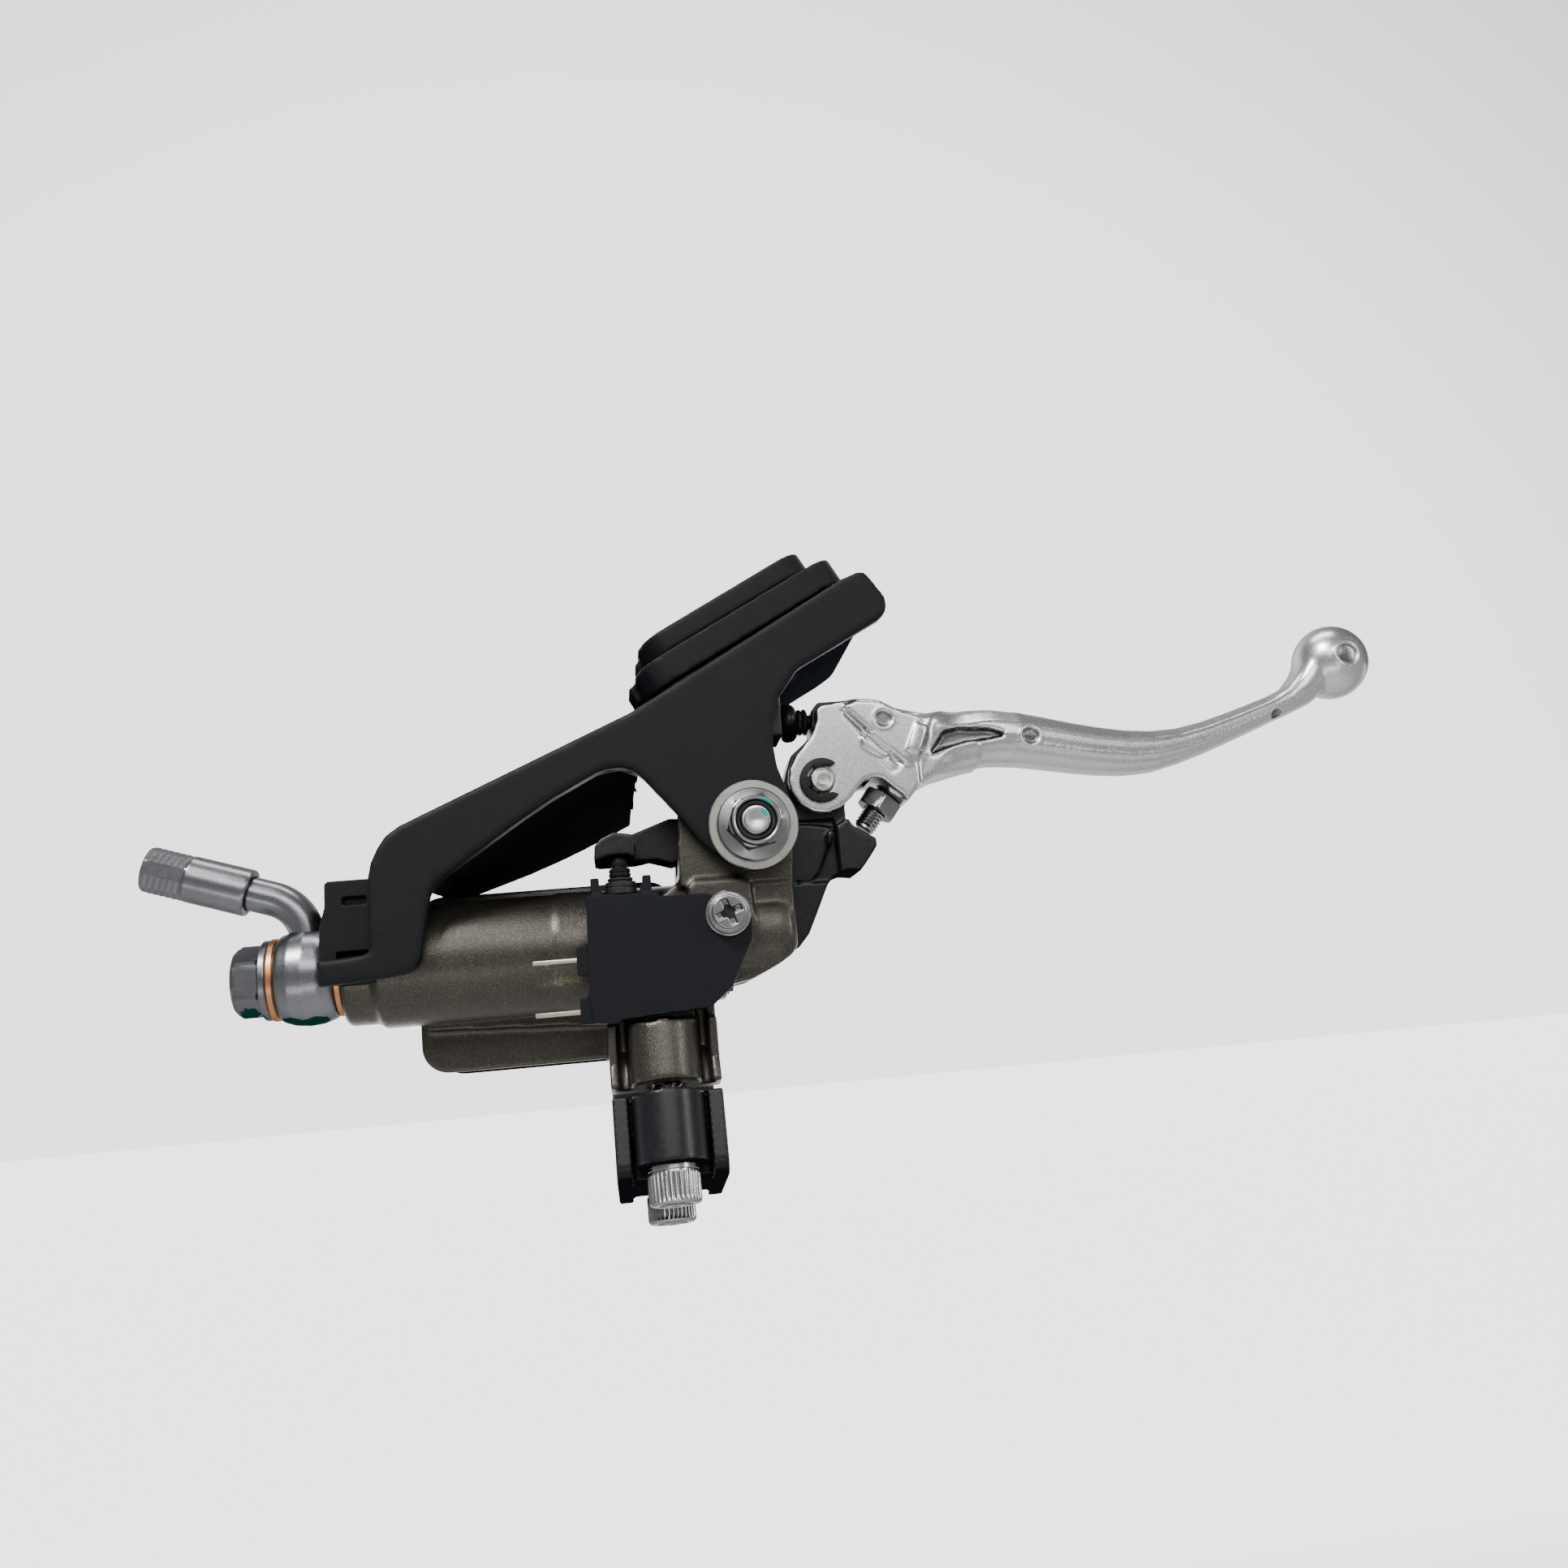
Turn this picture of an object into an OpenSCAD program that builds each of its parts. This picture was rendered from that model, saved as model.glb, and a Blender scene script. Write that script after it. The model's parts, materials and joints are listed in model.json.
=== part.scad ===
// Brake master cylinder with lever, banjo hose end, brake switch and lever guard.
// Units are millimetres. +X runs along the handlebar to the lever tip, +Z points
// away from the bar, and +Y is the lid side. The origin is the bar clamp's centre.

/* [Bar clamp] */
// Handlebar diameter the clamp grips
bar_d = 22.2; // [22:0.1:25.4]
// Clamp width along the bar
clamp_w = 21.4; // [16:0.2:28]
// Angle between the clamp's split plane and the lever plane
clamp_tilt = 12; // [0:1:20]
// Distance between the two clamp bolts
bolt_spacing = 32.5; // [30:0.5:40]
// Clamp bolt thread diameter
clamp_bolt_d = 6; // [5:1:6]

/* [Cylinder] */
// Height of the cylinder axis above the bar axis
barrel_z = 32; // [28:0.5:38]
// Cylinder outside radius
barrel_r = 12.2; // [11:0.1:14]
// Bore radius the piston runs in
bore_r = 6.35; // [5.5:0.05:8]
// Height of the hose port above the bar axis
port_z = 31.3; // [28:0.1:36]
// Radius of the hose port thread
port_r = 5; // [4:0.5:6]
// Radius of the socket in the crimp sleeve
hose_r = 3.9; // [3.7:0.1:4.1]

/* [Lever pivot] */
// Pivot position along the bar
pivot_x = 21; // [15:0.5:28]
// Pivot height above the bar axis
pivot_z = 53.3; // [45:0.1:60]
// Pivot bolt diameter
pivot_d = 6; // [5:1:8]
// Half the width of the slot the carrier swings in
slot_half = 5; // [4:0.1:7]
// Half the thickness of the lever carrier
carrier_half = 4.4; // [3:0.1:5]

/* [Lever] */
// Position of the lever pin along the bar
pin_x = 37; // [32:0.5:44]
// Height of the lever pin
pin_z = 63; // [56:0.5:70]
// Radius of the ball at the lever tip
ball_r = 8.3; // [6:0.1:10]
// Half the lever's thickness at its root
lever_half = 6.6; // [5:0.1:8]

/* [Reservoir] */
// Reservoir left end along the bar
res_x0 = -49; // [-60:1:-40]
// Reservoir right end along the bar
res_x1 = 5; // [0:1:12]
// Reservoir depth from its floor to the lid
res_top = 38; // [30:1:45]
// Reservoir wall thickness
res_wall = 3.2; // [2:0.2:5]

/* [Guard] */
// Near face of the guard arm
guard_y = -16; // [-20:0.5:-14]
// Depth of the guard walls behind the arm
guard_depth = 44; // [20:1:60]
// Angle of the stepped box to the bar
box_tilt = 28.5; // [20:0.5:40]
// Thickness of the guard walls
guard_wall = 2.2; // [1.6:0.1:4]

/* [Hidden] */
e = 0.01;
fit = 0.05;
half_w = clamp_w / 2;
bolt_r = clamp_bolt_d / 2;
bush_r = 4.5;
ear_y = 11.5;
guard_back = -13;
switch_back = -12.42;
res_floor = 12.6;
pivot = [pivot_x, pivot_z];
pin = [pin_x, pin_z];
plunger_x = -6.2;
plunger_y = -15;
adj = [50.2, 58.3];
adj_angle = 37.7;
$fn = 64;

// ---- outlines in the lever plane, [x, z] ----
tower_pts = [[6.2, 57], [5.6, 44], [1.7, 41], [1.7, 36], [15, 22.4], [18.9, 23.1],
  [22.5, 24.7], [24.7, 25.7], [27.4, 27.4], [28.7, 29.2], [28.7, 45.5], [29.6, 53.3],
  [21, 62], [12, 62], [8, 60.2]];
slot_pts = [[-6, 46.5], [13.2, 46.5], [14, 45.5], [14, 15], [45, 15], [45, 75], [-6, 75]];
pad_pts = [[7, 29], [7, 42], [8.4, 43.6], [18.4, 43.6], [19.9, 42.2], [20.4, 34], [19, 29]];
arm_pts = [[-64.6, 28.2], [-54.6, 28.7], [-47.9, 29.4], [-46.2, 30.2], [-45.3, 31.9],
  [-43.7, 41.1], [-43, 44.4], [-42.2, 46], [-40.5, 47.5], [-25.5, 57.4], [-18.6, 61.6],
  [-9.4, 66.3], [-7, 67], [-4.7, 67.1], [-2.6, 66.5], [-0.8, 65.2], [5.8, 57.1],
  [10.5, 50.5], [15.5, 46.2], [21, 44.5], [28, 48.4], [29.2, 58.1], [28.2, 61.4],
  [27, 65.3], [26.6, 69.6], [27, 74.2], [28.2, 79], [33, 85.3], [44.3, 91.3],
  [51.2, 95], [52.6, 96.4], [53.1, 98], [52.9, 99.9], [50, 104.4], [49, 105.4],
  [47.6, 105.6], [44, 104.2], [-1.8, 78.3], [-43.8, 60.3], [-48.6, 58.2],
  [-51.2, 56.4], [-52.8, 54.1], [-54.2, 51.2], [-54.8, 48], [-54.9, 33.7], [-64.8, 33]];
upper_path = [[-54.8, 46], [-54.8, 48], [-54.2, 51.2], [-52.8, 54.1], [-51.2, 56.4],
  [-48.6, 58.2], [-43.8, 60.3], [-1.8, 78.3], [3.4, 81.3]];
upper_in = [[-52.6, 46], [-52.6, 47.6], [-52, 50.4], [-50.9, 53], [-49.6, 54.7],
  [-47.6, 56.1], [-43, 58], [-0.8, 76.2], [4.4, 79]];
lower_near = [[-43.2, 44.6], [-40.5, 47.5], [-25.5, 57.4], [-18.6, 61.6], [-9.4, 66.3],
  [-4.7, 67.1], [-0.8, 65.2]];
lower_far = [[-43.8, 49.4], [-37.3, 51.1], [-25.6, 54.8], [-19.5, 57], [-13.8, 59.3],
  [-8, 61.9], [-2.2, 64.6]];
clip_pts = [[-65.2, 28.4], [-65.1, 29.6], [-64.8, 33], [-64.7, 39.6], [-64.3, 41.3],
  [-63.6, 43.5], [-63.5, 48.1], [-62.9, 48.7], [-54.2, 48.7], [-54.2, 28.4]];
switch_pts = [[-13.1, 41.5], [1, 41.2], [1.1, 40.4], [10.7, 40.2], [19.1, 35.3],
  [18.7, 30.6], [18.3, 29.9], [14.3, 21.9], [11.7, 19.6], [9.7, 18], [4.9, 17.7],
  [-7.6, 17], [-8.3, 16.3], [-12.8, 16.7], [-13.6, 21.4]];
carrier_pts = [[13, 51.8], [5, 48.3], [0.3, 49.8], [-2.6, 49.3], [-10.6, 49.3],
  [-10.6, 51.3], [-7, 53.8], [-2.1, 55.4], [4.8, 57.8], [13.6, 57], [18, 60.8],
  [24, 61], [29, 62], [30.2, 66], [31.6, 69.5], [36.4, 73.4], [36.5, 75.5],
  [36.8, 79], [38.2, 80.6], [47.2, 80.8], [46.6, 74], [46, 68], [43.6, 60.6],
  [42, 58], [42, 54.9], [42.9, 53.3], [47.6, 50.2], [47.6, 48.6], [45, 45.2],
  [43.6, 43.6], [40.7, 44], [38.6, 43.3], [36.9, 41.6], [36.1, 40], [33.5, 34.6],
  [32, 31.6], [29.6, 28.9], [27.2, 28.6], [25.1, 30], [24.3, 32.3], [24.3, 36],
  [20.2, 41.4], [17.4, 46.4]];
shoulder_pts = [[37.4, 52], [42, 54.9], [42.9, 53.3], [47.6, 50.2], [47.6, 48.6],
  [45, 45.2], [43.6, 43.6], [40.7, 44], [38.6, 43.3], [36.8, 42.4]];
plate_pts = [[29, 42.9], [33.3, 42.5], [35.1, 44.3], [38.4, 51.2], [38.9, 53.4],
  [33.6, 54.4], [29, 54.6]];
tab_pts = [[-11.1, 48.2], [-10.8, 51.3], [-9.6, 52.6], [-7, 53.8], [-3.1, 53.1],
  [-3.1, 48.4], [-4.6, 49.2], [-7.8, 49.2]];
head_pts = [[30.1, 63.3], [30.5, 65.9], [31.9, 68.4], [35.8, 72.7], [37.2, 75.9],
  [37.3, 78.4], [38.1, 79.2], [46.1, 80.2], [48.1, 79.8], [55.9, 76.9], [58, 76.2],
  [58, 60.8], [56.4, 59], [55, 57.4], [54.2, 58.8], [49.9, 62.7], [48.4, 63.1], [46.4, 62.7], [44.7, 61.1],
  [43.1, 59.1], [40.5, 57.1], [37.8, 56.2], [34.8, 56.6], [32, 58.4], [30.4, 61]];
neck_pts = [[55, 77.2], [60.4, 75.5], [63.9, 75.3], [71.2, 75.6], [71.2, 64],
  [62.5, 62.9], [58.2, 60.9], [56.4, 59], [55, 60]];
root_pts = [[55, 57.4], [56.4, 59], [58.2, 60.9], [62.5, 62.9], [72, 64.2], [72, 77],
  [62.3, 77.4], [53, 78.2], [49.5, 66], [51.4, 59.9]];
fork_pts = [[20, 50], [53.4, 50], [54.8, 57.2], [47.8, 62.7], [49.5, 66], [52.5, 74],
  [53.5, 90], [20, 90]];
window_pts = [[60.6, 67], [64.6, 72.4], [68, 72.9], [74.9, 72.4], [77.6, 71.4],
  [77.6, 70.4], [74.5, 69.9], [69.6, 69.5], [63.7, 68.2]];

// blade stations: [x, top z, bottom z, half thickness]
blade = [[54, 77.6, 60.5, 6.6], [58, 77.3, 60.9, 6.6], [64, 77.3, 63.8, 6.6],
  [70, 77.1, 64.8, 6.6], [76, 77.3, 65, 6.5], [82, 76.6, 64.5, 6.5],
  [88, 75.1, 63.5, 6.4], [94, 73.5, 62.4, 6.3], [100, 72.1, 61.5, 6.2],
  [106, 71, 61, 6.1], [112, 70.4, 61.3, 6], [118, 70.6, 62.7, 5.8],
  [124, 71.7, 64.5, 5.6], [130, 73.3, 66.6, 5.3], [136, 75.1, 68.8, 5],
  [141, 76.7, 70.7, 4.8], [145, 78.4, 72.1, 4.8], [148, 81.6, 73.2, 5],
  [151, 86.4, 74.4, 5.6], [155, 88, 77.6, 5.4]];

// ---- helpers ----
module slab(y0, y1) {
  translate([0, y1, 0]) rotate([90, 0, 0]) linear_extrude(y1 - y0) children();
}
module rod_y(p, y0, y1, r) {
  translate([p[0], y1, p[1]]) rotate([90, 0, 0]) cylinder(h = y1 - y0, r = r);
}
module rod_x(x0, x1, z, r) {
  translate([x0, 0, z]) rotate([0, 90, 0]) cylinder(h = x1 - x0, r = r);
}
module rod_z(p, z0, z1, r) {
  translate([p[0], p[1], z0]) cylinder(h = z1 - z0, r = r);
}
module block(a, b) {
  translate(a) cube(b - a);
}
module spin_x(x, z) {
  translate([x, 0, z]) rotate([0, 90, 0]) rotate_extrude() children();
}
module hex_y(p, y0, y1, af, turn) {
  translate([p[0], y1, p[1]]) rotate([90, 0, 0]) rotate([0, 0, turn])
    cylinder(h = y1 - y0, r = af / sqrt(3), $fn = 6);
}
module round_rect(w, h, r) {
  union() {
    translate([r, 0]) square([w - 2 * r, h]);
    translate([0, r]) square([w, h - 2 * r]);
    for (x = [r, w - r]) for (y = [r, h - r]) translate([x, y]) circle(r);
  }
}
// stepped-box frame: local x along the box, local z out of its lid
module in_box() { rotate([0, -box_tilt, 0]) children(); }
module in_clamp() { rotate([-clamp_tilt, 0, 0]) children(); }
// a plan outline in x and y, raised from w0 to w1
module tray(u0, u1, y0, y1, w0, w1, r) {
  translate([u0, y0, w0]) linear_extrude(w1 - w0) round_rect(u1 - u0, y1 - y0, r);
}
module strip(near, far, y0, y1, lift) {
  n = len(near);
  pts = concat([for (p = near) [p[0], y0, p[1]]], [for (p = far) [p[0], y1, p[1]]],
    [for (p = near) [p[0] + lift[0], y0, p[1] + lift[1]]],
    [for (p = far) [p[0] + lift[0], y1, p[1] + lift[1]]]);
  f = [for (i = [0:n - 2]) each [
      [i, i + 1, n + i + 1], [i, n + i + 1, n + i],
      [2 * n + i, 3 * n + i + 1, 2 * n + i + 1], [2 * n + i, 3 * n + i, 3 * n + i + 1],
      [i, 2 * n + i + 1, i + 1], [i, 2 * n + i, 2 * n + i + 1],
      [n + i, n + i + 1, 3 * n + i + 1], [n + i, 3 * n + i + 1, 3 * n + i]]];
  ends = [[0, n, 3 * n], [0, 3 * n, 2 * n],
    [n - 1, 3 * n - 1, 4 * n - 1], [n - 1, 4 * n - 1, 2 * n - 1]];
  polyhedron(points = pts, faces = concat(f, ends));
}

// ---- housing ----
module cylinder_body() {
  color([0.45, 0.42, 0.37]) difference() {
    union() {
      spin_x(0, barrel_z) polygon([[0, -55.4], [11.4, -55.4], [barrel_r, -54.4],
        [barrel_r, 25.5], [11.8, 27.4], [10.6, 28.7], [0, 28.7]]);
      spin_x(0, port_z) polygon([[0, -62], [9.7, -62], [10.5, -61], [10.5, -54], [0, -54]]);
      slab(-10.4, 10.4) polygon(tower_pts);
      slab(-ear_y, ear_y) polygon([[6.2, 57], [5.6, 42.4], [28.7, 42.4], [29.6, 53.3],
        [21, 62], [12, 62], [8, 60.2]]);
      rod_y(pivot, -ear_y, ear_y, 8.7);
      slab(-12.4, -10) polygon(pad_pts);
      clamp_upper();
      reservoir_outer(8, res_floor + 0.6);
      slab(5.5, 9) polygon([[-47, 18.8], [-8, 17], [-8, 30], [-47, 30]]);
    }
    slab(-slot_half, slot_half) polygon(slot_pts);
    slab(-30, 30) polygon([[16, 10], [15.2, 22.4], [18.9, 23.1], [22.5, 24.7],
      [24.7, 25.7], [27.4, 27.4], [28.7, 29.2], [35, 30], [35, 10]]);
    rod_y(pivot, -20, 20, pivot_d / 2 + 0.05);
    rod_x(-50, 30, barrel_z, bore_r);
    rod_x(-63, -49, port_z, port_r + fit);
    rod_x(8.95, 10.05, barrel_z, 7.15);
    rod_x(-15, -11, barrel_z, bore_r);
    rod_y([14.4, 35.9], -14, -7.8, 2.03);
    in_clamp() translate([-20, -40, -40]) cube([40, 80, 40.5]);
    rod_x(-20, 20, 0, bar_d / 2);
    in_clamp() for (s = [-1, 1]) rod_z([0, s * bolt_spacing / 2], -1, 14, bolt_r + fit);
    block([-16.4, -20, 16.2], [19.6, switch_back, 42]);
    slab(res_floor, res_top) translate([res_x0 - 0.05, 9.95])
      round_rect(res_x1 - res_x0 + 0.1, 36.6, 5.55);
    rod_y([-14.5, barrel_z], 3, 15, 0.8);
    rod_y([-4, barrel_z], 3, 15, 1.4);
  }
}
function lid_screw_pts() = [[res_x0 + 4.4, 28.3], [res_x1 - 4.4, 28.3]];
module clamp_upper() {
  in_clamp() {
    rod_x(-8.9, 8.9, 0, 15.2);
    rod_x(-half_w, -8.9, 0, 17.4);
    rod_x(8.9, half_w, 0, 17.4);
    rod_z([0, -bolt_spacing / 2], 0.5, 15.5, 6.9);
    rod_z([0, bolt_spacing / 2], 0.5, 17, 6.9);
    block([-6.9, -bolt_spacing / 2, 0.5], [6.9, bolt_spacing / 2, 14]);
  }
  block([-half_w + 0.3, -10.5, 10], [half_w - 0.3, 16, 26]);
  block([-half_w, -15.2, 9], [-8.9, 4, 20.5]);
  block([8.9, -15.2, 9], [half_w, 4, 20.5]);
}
module reservoir_outer(y0, y1) {
  slab(y0, y1) translate([res_x0, 10]) round_rect(res_x1 - res_x0, 36.5, 5.5);
}
module reservoir() {
  color([0.45, 0.42, 0.37]) difference() {
    reservoir_outer(res_floor, res_top);
    block([res_x0 + 8.2, 13.8, 10 + res_wall], [res_x1 - 8.2, res_top + 1, 46.5 - res_wall]);
    for (p = lid_screw_pts()) rod_y(p, 26, res_top + 1, 2.03);
    rod_y([-14.5, barrel_z], 3, 15, 0.8);
    rod_y([-4, barrel_z], 3, 15, 1.4);
  }
}
module reservoir_lid() {
  color([0.13, 0.14, 0.16]) difference() {
    union() {
      slab(res_top + 1, res_top + 3.6)
        translate([res_x0 - 0.5, 9.5]) round_rect(res_x1 - res_x0 + 1, 37.5, 6);
      slab(res_top + 3.6, res_top + 5)
        translate([res_x0 + 9.2, 13]) round_rect(res_x1 - res_x0 - 18.4, 30.5, 4);
    }
    for (p = lid_screw_pts()) rod_y(p, res_top, res_top + 6, 2.2);
    for (p = lid_screw_pts()) rod_y(p, res_top + 2.4, res_top + 6, 4.1);
  }
}
module diaphragm_plate() {
  color([0.75, 0.76, 0.78]) difference() {
    slab(res_top + 0.5, res_top + 1)
      translate([res_x0 + 8.8, 11.8]) round_rect(res_x1 - res_x0 - 17.6, 33, 4);
    rod_y([-22, 28.3], res_top, res_top + 2, 4);
  }
}
module reservoir_diaphragm() {
  w = res_x1 - res_x0;
  color([0.05, 0.05, 0.06]) difference() {
    union() {
      slab(res_top, res_top + 0.5)
        translate([res_x0 + 8.4, 11.4]) round_rect(w - 16.8, 33.8, 4);
      slab(res_top - 6, res_top + e)
        translate([res_x0 + 9.4, 14.6]) square([w - 18.8, 27.4]);
    }
    slab(res_top - 4.6, res_top + 1)
      translate([res_x0 + 10.8, 16]) square([w - 21.6, 24.6]);
  }
}
module lid_screws() {
  color([0.72, 0.72, 0.74]) for (p = lid_screw_pts()) difference() {
    union() {
      rod_y(p, res_top - 9, res_top + 2.5, 2);
      rod_y(p, res_top + 2.4, res_top + 4.6, 3.9);
    }
    slab(res_top + 3.2, res_top + 6) translate(p) square([4.6, 1], center = true);
    slab(res_top + 3.2, res_top + 6) translate(p) square([1, 4.6], center = true);
  }
}
module clamp_cap() {
  color([0.09, 0.1, 0.12]) in_clamp() difference() {
    union() {
      rod_x(-half_w, half_w, 0, 15.8);
      for (x = [-half_w, 7.7]) translate([x, 0, 0]) rotate([90, 0, 90]) linear_extrude(3)
        polygon([[-17.2, 0], [-17.2, -14.3], [-16.2, -16.3], [-14.4, -17.2], [14.4, -17.2],
          [16.2, -16.3], [17.2, -14.3], [17.2, 0]]);
      translate([-half_w + 1, 0, 0]) rotate([90, 0, 90]) linear_extrude(18.7)
        polygon([[-9.6, -9], [-9.6, -15.8], [-8.6, -16.8], [8.6, -16.8], [9.6, -15.8], [9.6, -9]]);
      for (s = [-1, 1]) {
        rod_z([0, s * bolt_spacing / 2], -14.7, -1.2, 6.95);
        rod_z([0, s * 14], -13.4, -1.2, 6.95);
      }
    }
    translate([-20, -40, -1]) cube([40, 80, 40]);
    rod_x(-20, 20, 0, bar_d / 2);
    for (s = [-1, 1]) rod_z([0, s * bolt_spacing / 2], -20, 5, bolt_r + 0.3);
  }
}
module clamp_bolts() {
  color([0.75, 0.75, 0.73]) in_clamp() for (s = [-1, 1])
    translate([0, s * bolt_spacing / 2, 0]) difference() {
      union() {
        rod_z([0, 0], -16, 13, bolt_r);
        rod_z([0, 0], -21.9, -15.8, 5);
      }
      translate([0, 0, -22]) cylinder(h = 3.4, r = 2.9, $fn = 6);
    }
}
module clamp_washers() {
  color([0.7, 0.7, 0.69]) in_clamp() for (s = [-1, 1])
    translate([0, s * bolt_spacing / 2, -15.8]) difference() {
      cylinder(h = 1.1, r = 4.8);
      translate([0, 0, -1]) cylinder(h = 4, r = bolt_r + 0.1);
    }
}

// ---- guard ----
module guard_bracket() {
  color([0.13, 0.14, 0.16]) difference() {
    union() {
      slab(guard_y, guard_back) polygon(arm_pts);
      slab(guard_y, -ear_y) intersection() {
        translate(pivot) circle(8.9);
        polygon(arm_pts);
      }
      slab(guard_back - e, guard_depth)
        polygon(concat(upper_path, [for (i = [len(upper_in) - 1:-1:0]) upper_in[i]]));
      strip(lower_near, lower_far, guard_back - e, guard_depth, [-0.9, guard_wall]);
      for (x = [-34, -12]) slab(guard_back - e, guard_depth - 6)
        polygon([[x, rib_low(x)], [x + 1.8, rib_low(x + 1.8)], [x + 1.8, rib_top(x + 1.8)],
          [x, rib_top(x)]]);
    }
    rod_y(pivot, -20, 0, pivot_d / 2 + 0.1);
  }
}
function rib_low(x) = x < -30 ? 55.4 + (x + 34) * 0.6 : 66 + (x + 12) * 0.4;
function rib_top(x) = 60.3 + (x + 43.8) * 0.4286 - 1;
module guard_clip() {
  color([0.12, 0.13, 0.15]) difference() {
    union() {
      difference() {
        slab(guard_back, -11) polygon(clip_pts);
        block([-55.8, -12.4, 20], [-50, -10, 60]);
      }
      slab(guard_back, 10) polygon([[-63.5, 46.8], [-62.9, 48.7], [-56, 48.7], [-56, 46.8]]);
      difference() {
        rod_x(-61.4, -56, port_z, 12.6);
        rod_x(-62, -55, port_z, 10.55);
        block([-70, -20, 10], [-50, 20, port_z - 3]);
      }
    }
    block([-60.1, -20, 43.8], [-55.6, -10.9, 45.4]);
    block([-61.6, -20, 32.8], [-55.5, -10.9, 34.8]);
  }
}
module guard_box() {
  color([0.03, 0.03, 0.035]) {
    in_box() difference() {
      union() {
        tray(42, 90, guard_back + 0.1, 33, 62.2, 70.8, 5);
        tray(45, 87, guard_back + 3, 30, 60.4, 62.3, 5);
      }
      tray(44.2, 87.8, guard_back + 2.3, 30.8, 64.4, 75, 3.5);
    }
    slab(-6, 6) polygon([[26.8, 73.6], [30.1, 73.6], [30.1, 82], [38, 89], [30, 89], [26.8, 84]]);
  }
}
module guard_cover() {
  color([0.14, 0.15, 0.17]) in_box() difference() {
    union() {
      tray(41.3, 90.5, -14, 34, 71, 77, 6.5);
      block([39.6, -4, 72.5], [41.4, 6, 76.5]);
    }
    tray(44, 87.8, -11.4, 31.4, 70, 75, 4);
  }
}
module guard_cap() {
  color([0.14, 0.15, 0.17]) in_box() {
    tray(45.3, 86, -12, 31, 77, 82, 6);
    block([43.6, -3, 77.2], [45.4, 5, 80.6]);
  }
}

// ---- pivot hardware ----
module pivot_bolt() {
  color([0.72, 0.73, 0.74]) {
    rod_y(pivot, -24.2, 12, pivot_d / 2 - 0.02);
    rod_y(pivot, ear_y, ear_y + 1.4, 7);
    hex_y(pivot, ear_y + 1.3, ear_y + 5.4, 10, 0);
  }
}
module carrier_bush() {
  color([0.65, 0.6, 0.45]) difference() {
    rod_y(pivot, -slot_half, slot_half, bush_r);
    rod_y(pivot, -6, 6, pivot_d / 2 + 0.05);
  }
}
module pivot_washer() {
  color([0.78, 0.78, 0.74]) difference() {
    rod_y(pivot, -17.5, guard_y, 9);
    rod_y(pivot, -20, 0, pivot_d / 2 + 0.2);
  }
}
module pivot_nut() {
  color([0.6, 0.6, 0.6]) difference() {
    union() {
      rod_y(pivot, -18.8, -17.5, 7.1);
      hex_y(pivot, -22.2, -18.7, 10, 12);
      rod_y(pivot, -23.4, -22.1, 4.7);
    }
    rod_y(pivot, -30, 0, pivot_d / 2 + fit);
    rod_y(pivot, -24, -21.6, 4.05);
  }
}
module pivot_nut_ring() {
  color([0.05, 0.05, 0.05]) difference() {
    rod_y(pivot, -23.1, -21.6, 4);
    rod_y(pivot, -30, 0, pivot_d / 2 + 0.02);
  }
}

// ---- hose end ----
module banjo_bolt() {
  color([0.42, 0.43, 0.45]) difference() {
    union() {
      translate([-83.5, 0, port_z]) rotate([0, 90, 0]) rotate(30)
        cylinder(h = 5.6, r = 12.4 / sqrt(3), $fn = 6);
      rod_x(-78, -76.3, port_z, 8);
      rod_x(-76.4, -52, port_z, port_r);
    }
    rod_x(-70, -51, port_z, 1.6);
    rod_y([-69, port_z], -6, 6, 1.3);
  }
}
module banjo_washers() {
  color([0.75, 0.47, 0.3]) for (x = [-76.3, -63.5]) difference() {
    rod_x(x, x + 1.5, port_z, 8.25);
    rod_x(x - 1, x + 4, port_z, port_r + 0.12);
  }
}
module banjo_fitting() {
  color([0.55, 0.56, 0.58]) difference() {
    union() {
      spin_x(0, port_z) polygon([[0, -74.8], [8.1, -74.8], [8.7, -74], [9.4, -72],
        [9.7, -69.2], [9.4, -66.4], [8.7, -64.4], [8.1, -63.5], [0, -63.5]]);
      rod_z([-69.3, 0], port_z + 5, port_z + 7.1, 4.1);
    }
    rod_x(-80, -60, port_z, port_r + 0.2);
    rod_x(-71, -67, port_z, port_r + 1);
    rod_z([-69.3, 0], port_z, port_z + 12, 3.55);
  }
}
// pipe bend: straight stub, an arc to the left, then a straight into the sleeve
module hose_pipe() {
  color([0.58, 0.59, 0.61]) difference() {
    pipe_run(3.5, 0, $fn = 36);
    pipe_run(1.8, 1, $fn = 36);
  }
}
module pipe_run(r, over) {
  rod_z([-69.3, 0], port_z + 7 - over, 38.5 + e, r);
  translate([-79, 0, 38.5]) rotate([90, 0, 0]) intersection() {
    rotate_extrude() translate([9.7, 0]) circle(r);
    translate([0, 0, -5]) linear_extrude(10)
      polygon([[0, 0], [20, 0], [20, 20], [20 * cos(71.8), 20 * sin(71.8)]]);
  }
  translate([-79, 0, 38.5]) rotate([0, -71.8, 0]) translate([9.7, 0, -e])
    cylinder(h = 8.5 + over, r = r);
}
module in_sleeve() {
  translate([-79, 0, 38.5]) rotate([0, -71.8, 0]) translate([9.7, 0, 4.45]) children();
}
module crimp_sleeve() {
  color([0.5, 0.51, 0.53]) in_sleeve() difference() {
    union() {
      cylinder(h = 12.6, r = 4.8);
      translate([0, 0, 12.5]) cylinder(h = 8.5, r = 4.75, $fn = 10);
    }
    translate([0, 0, -1]) cylinder(h = 5.2, r = 3.55);
    translate([0, 0, 4.1]) cylinder(h = 30, r = hose_r);
  }
}

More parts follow.
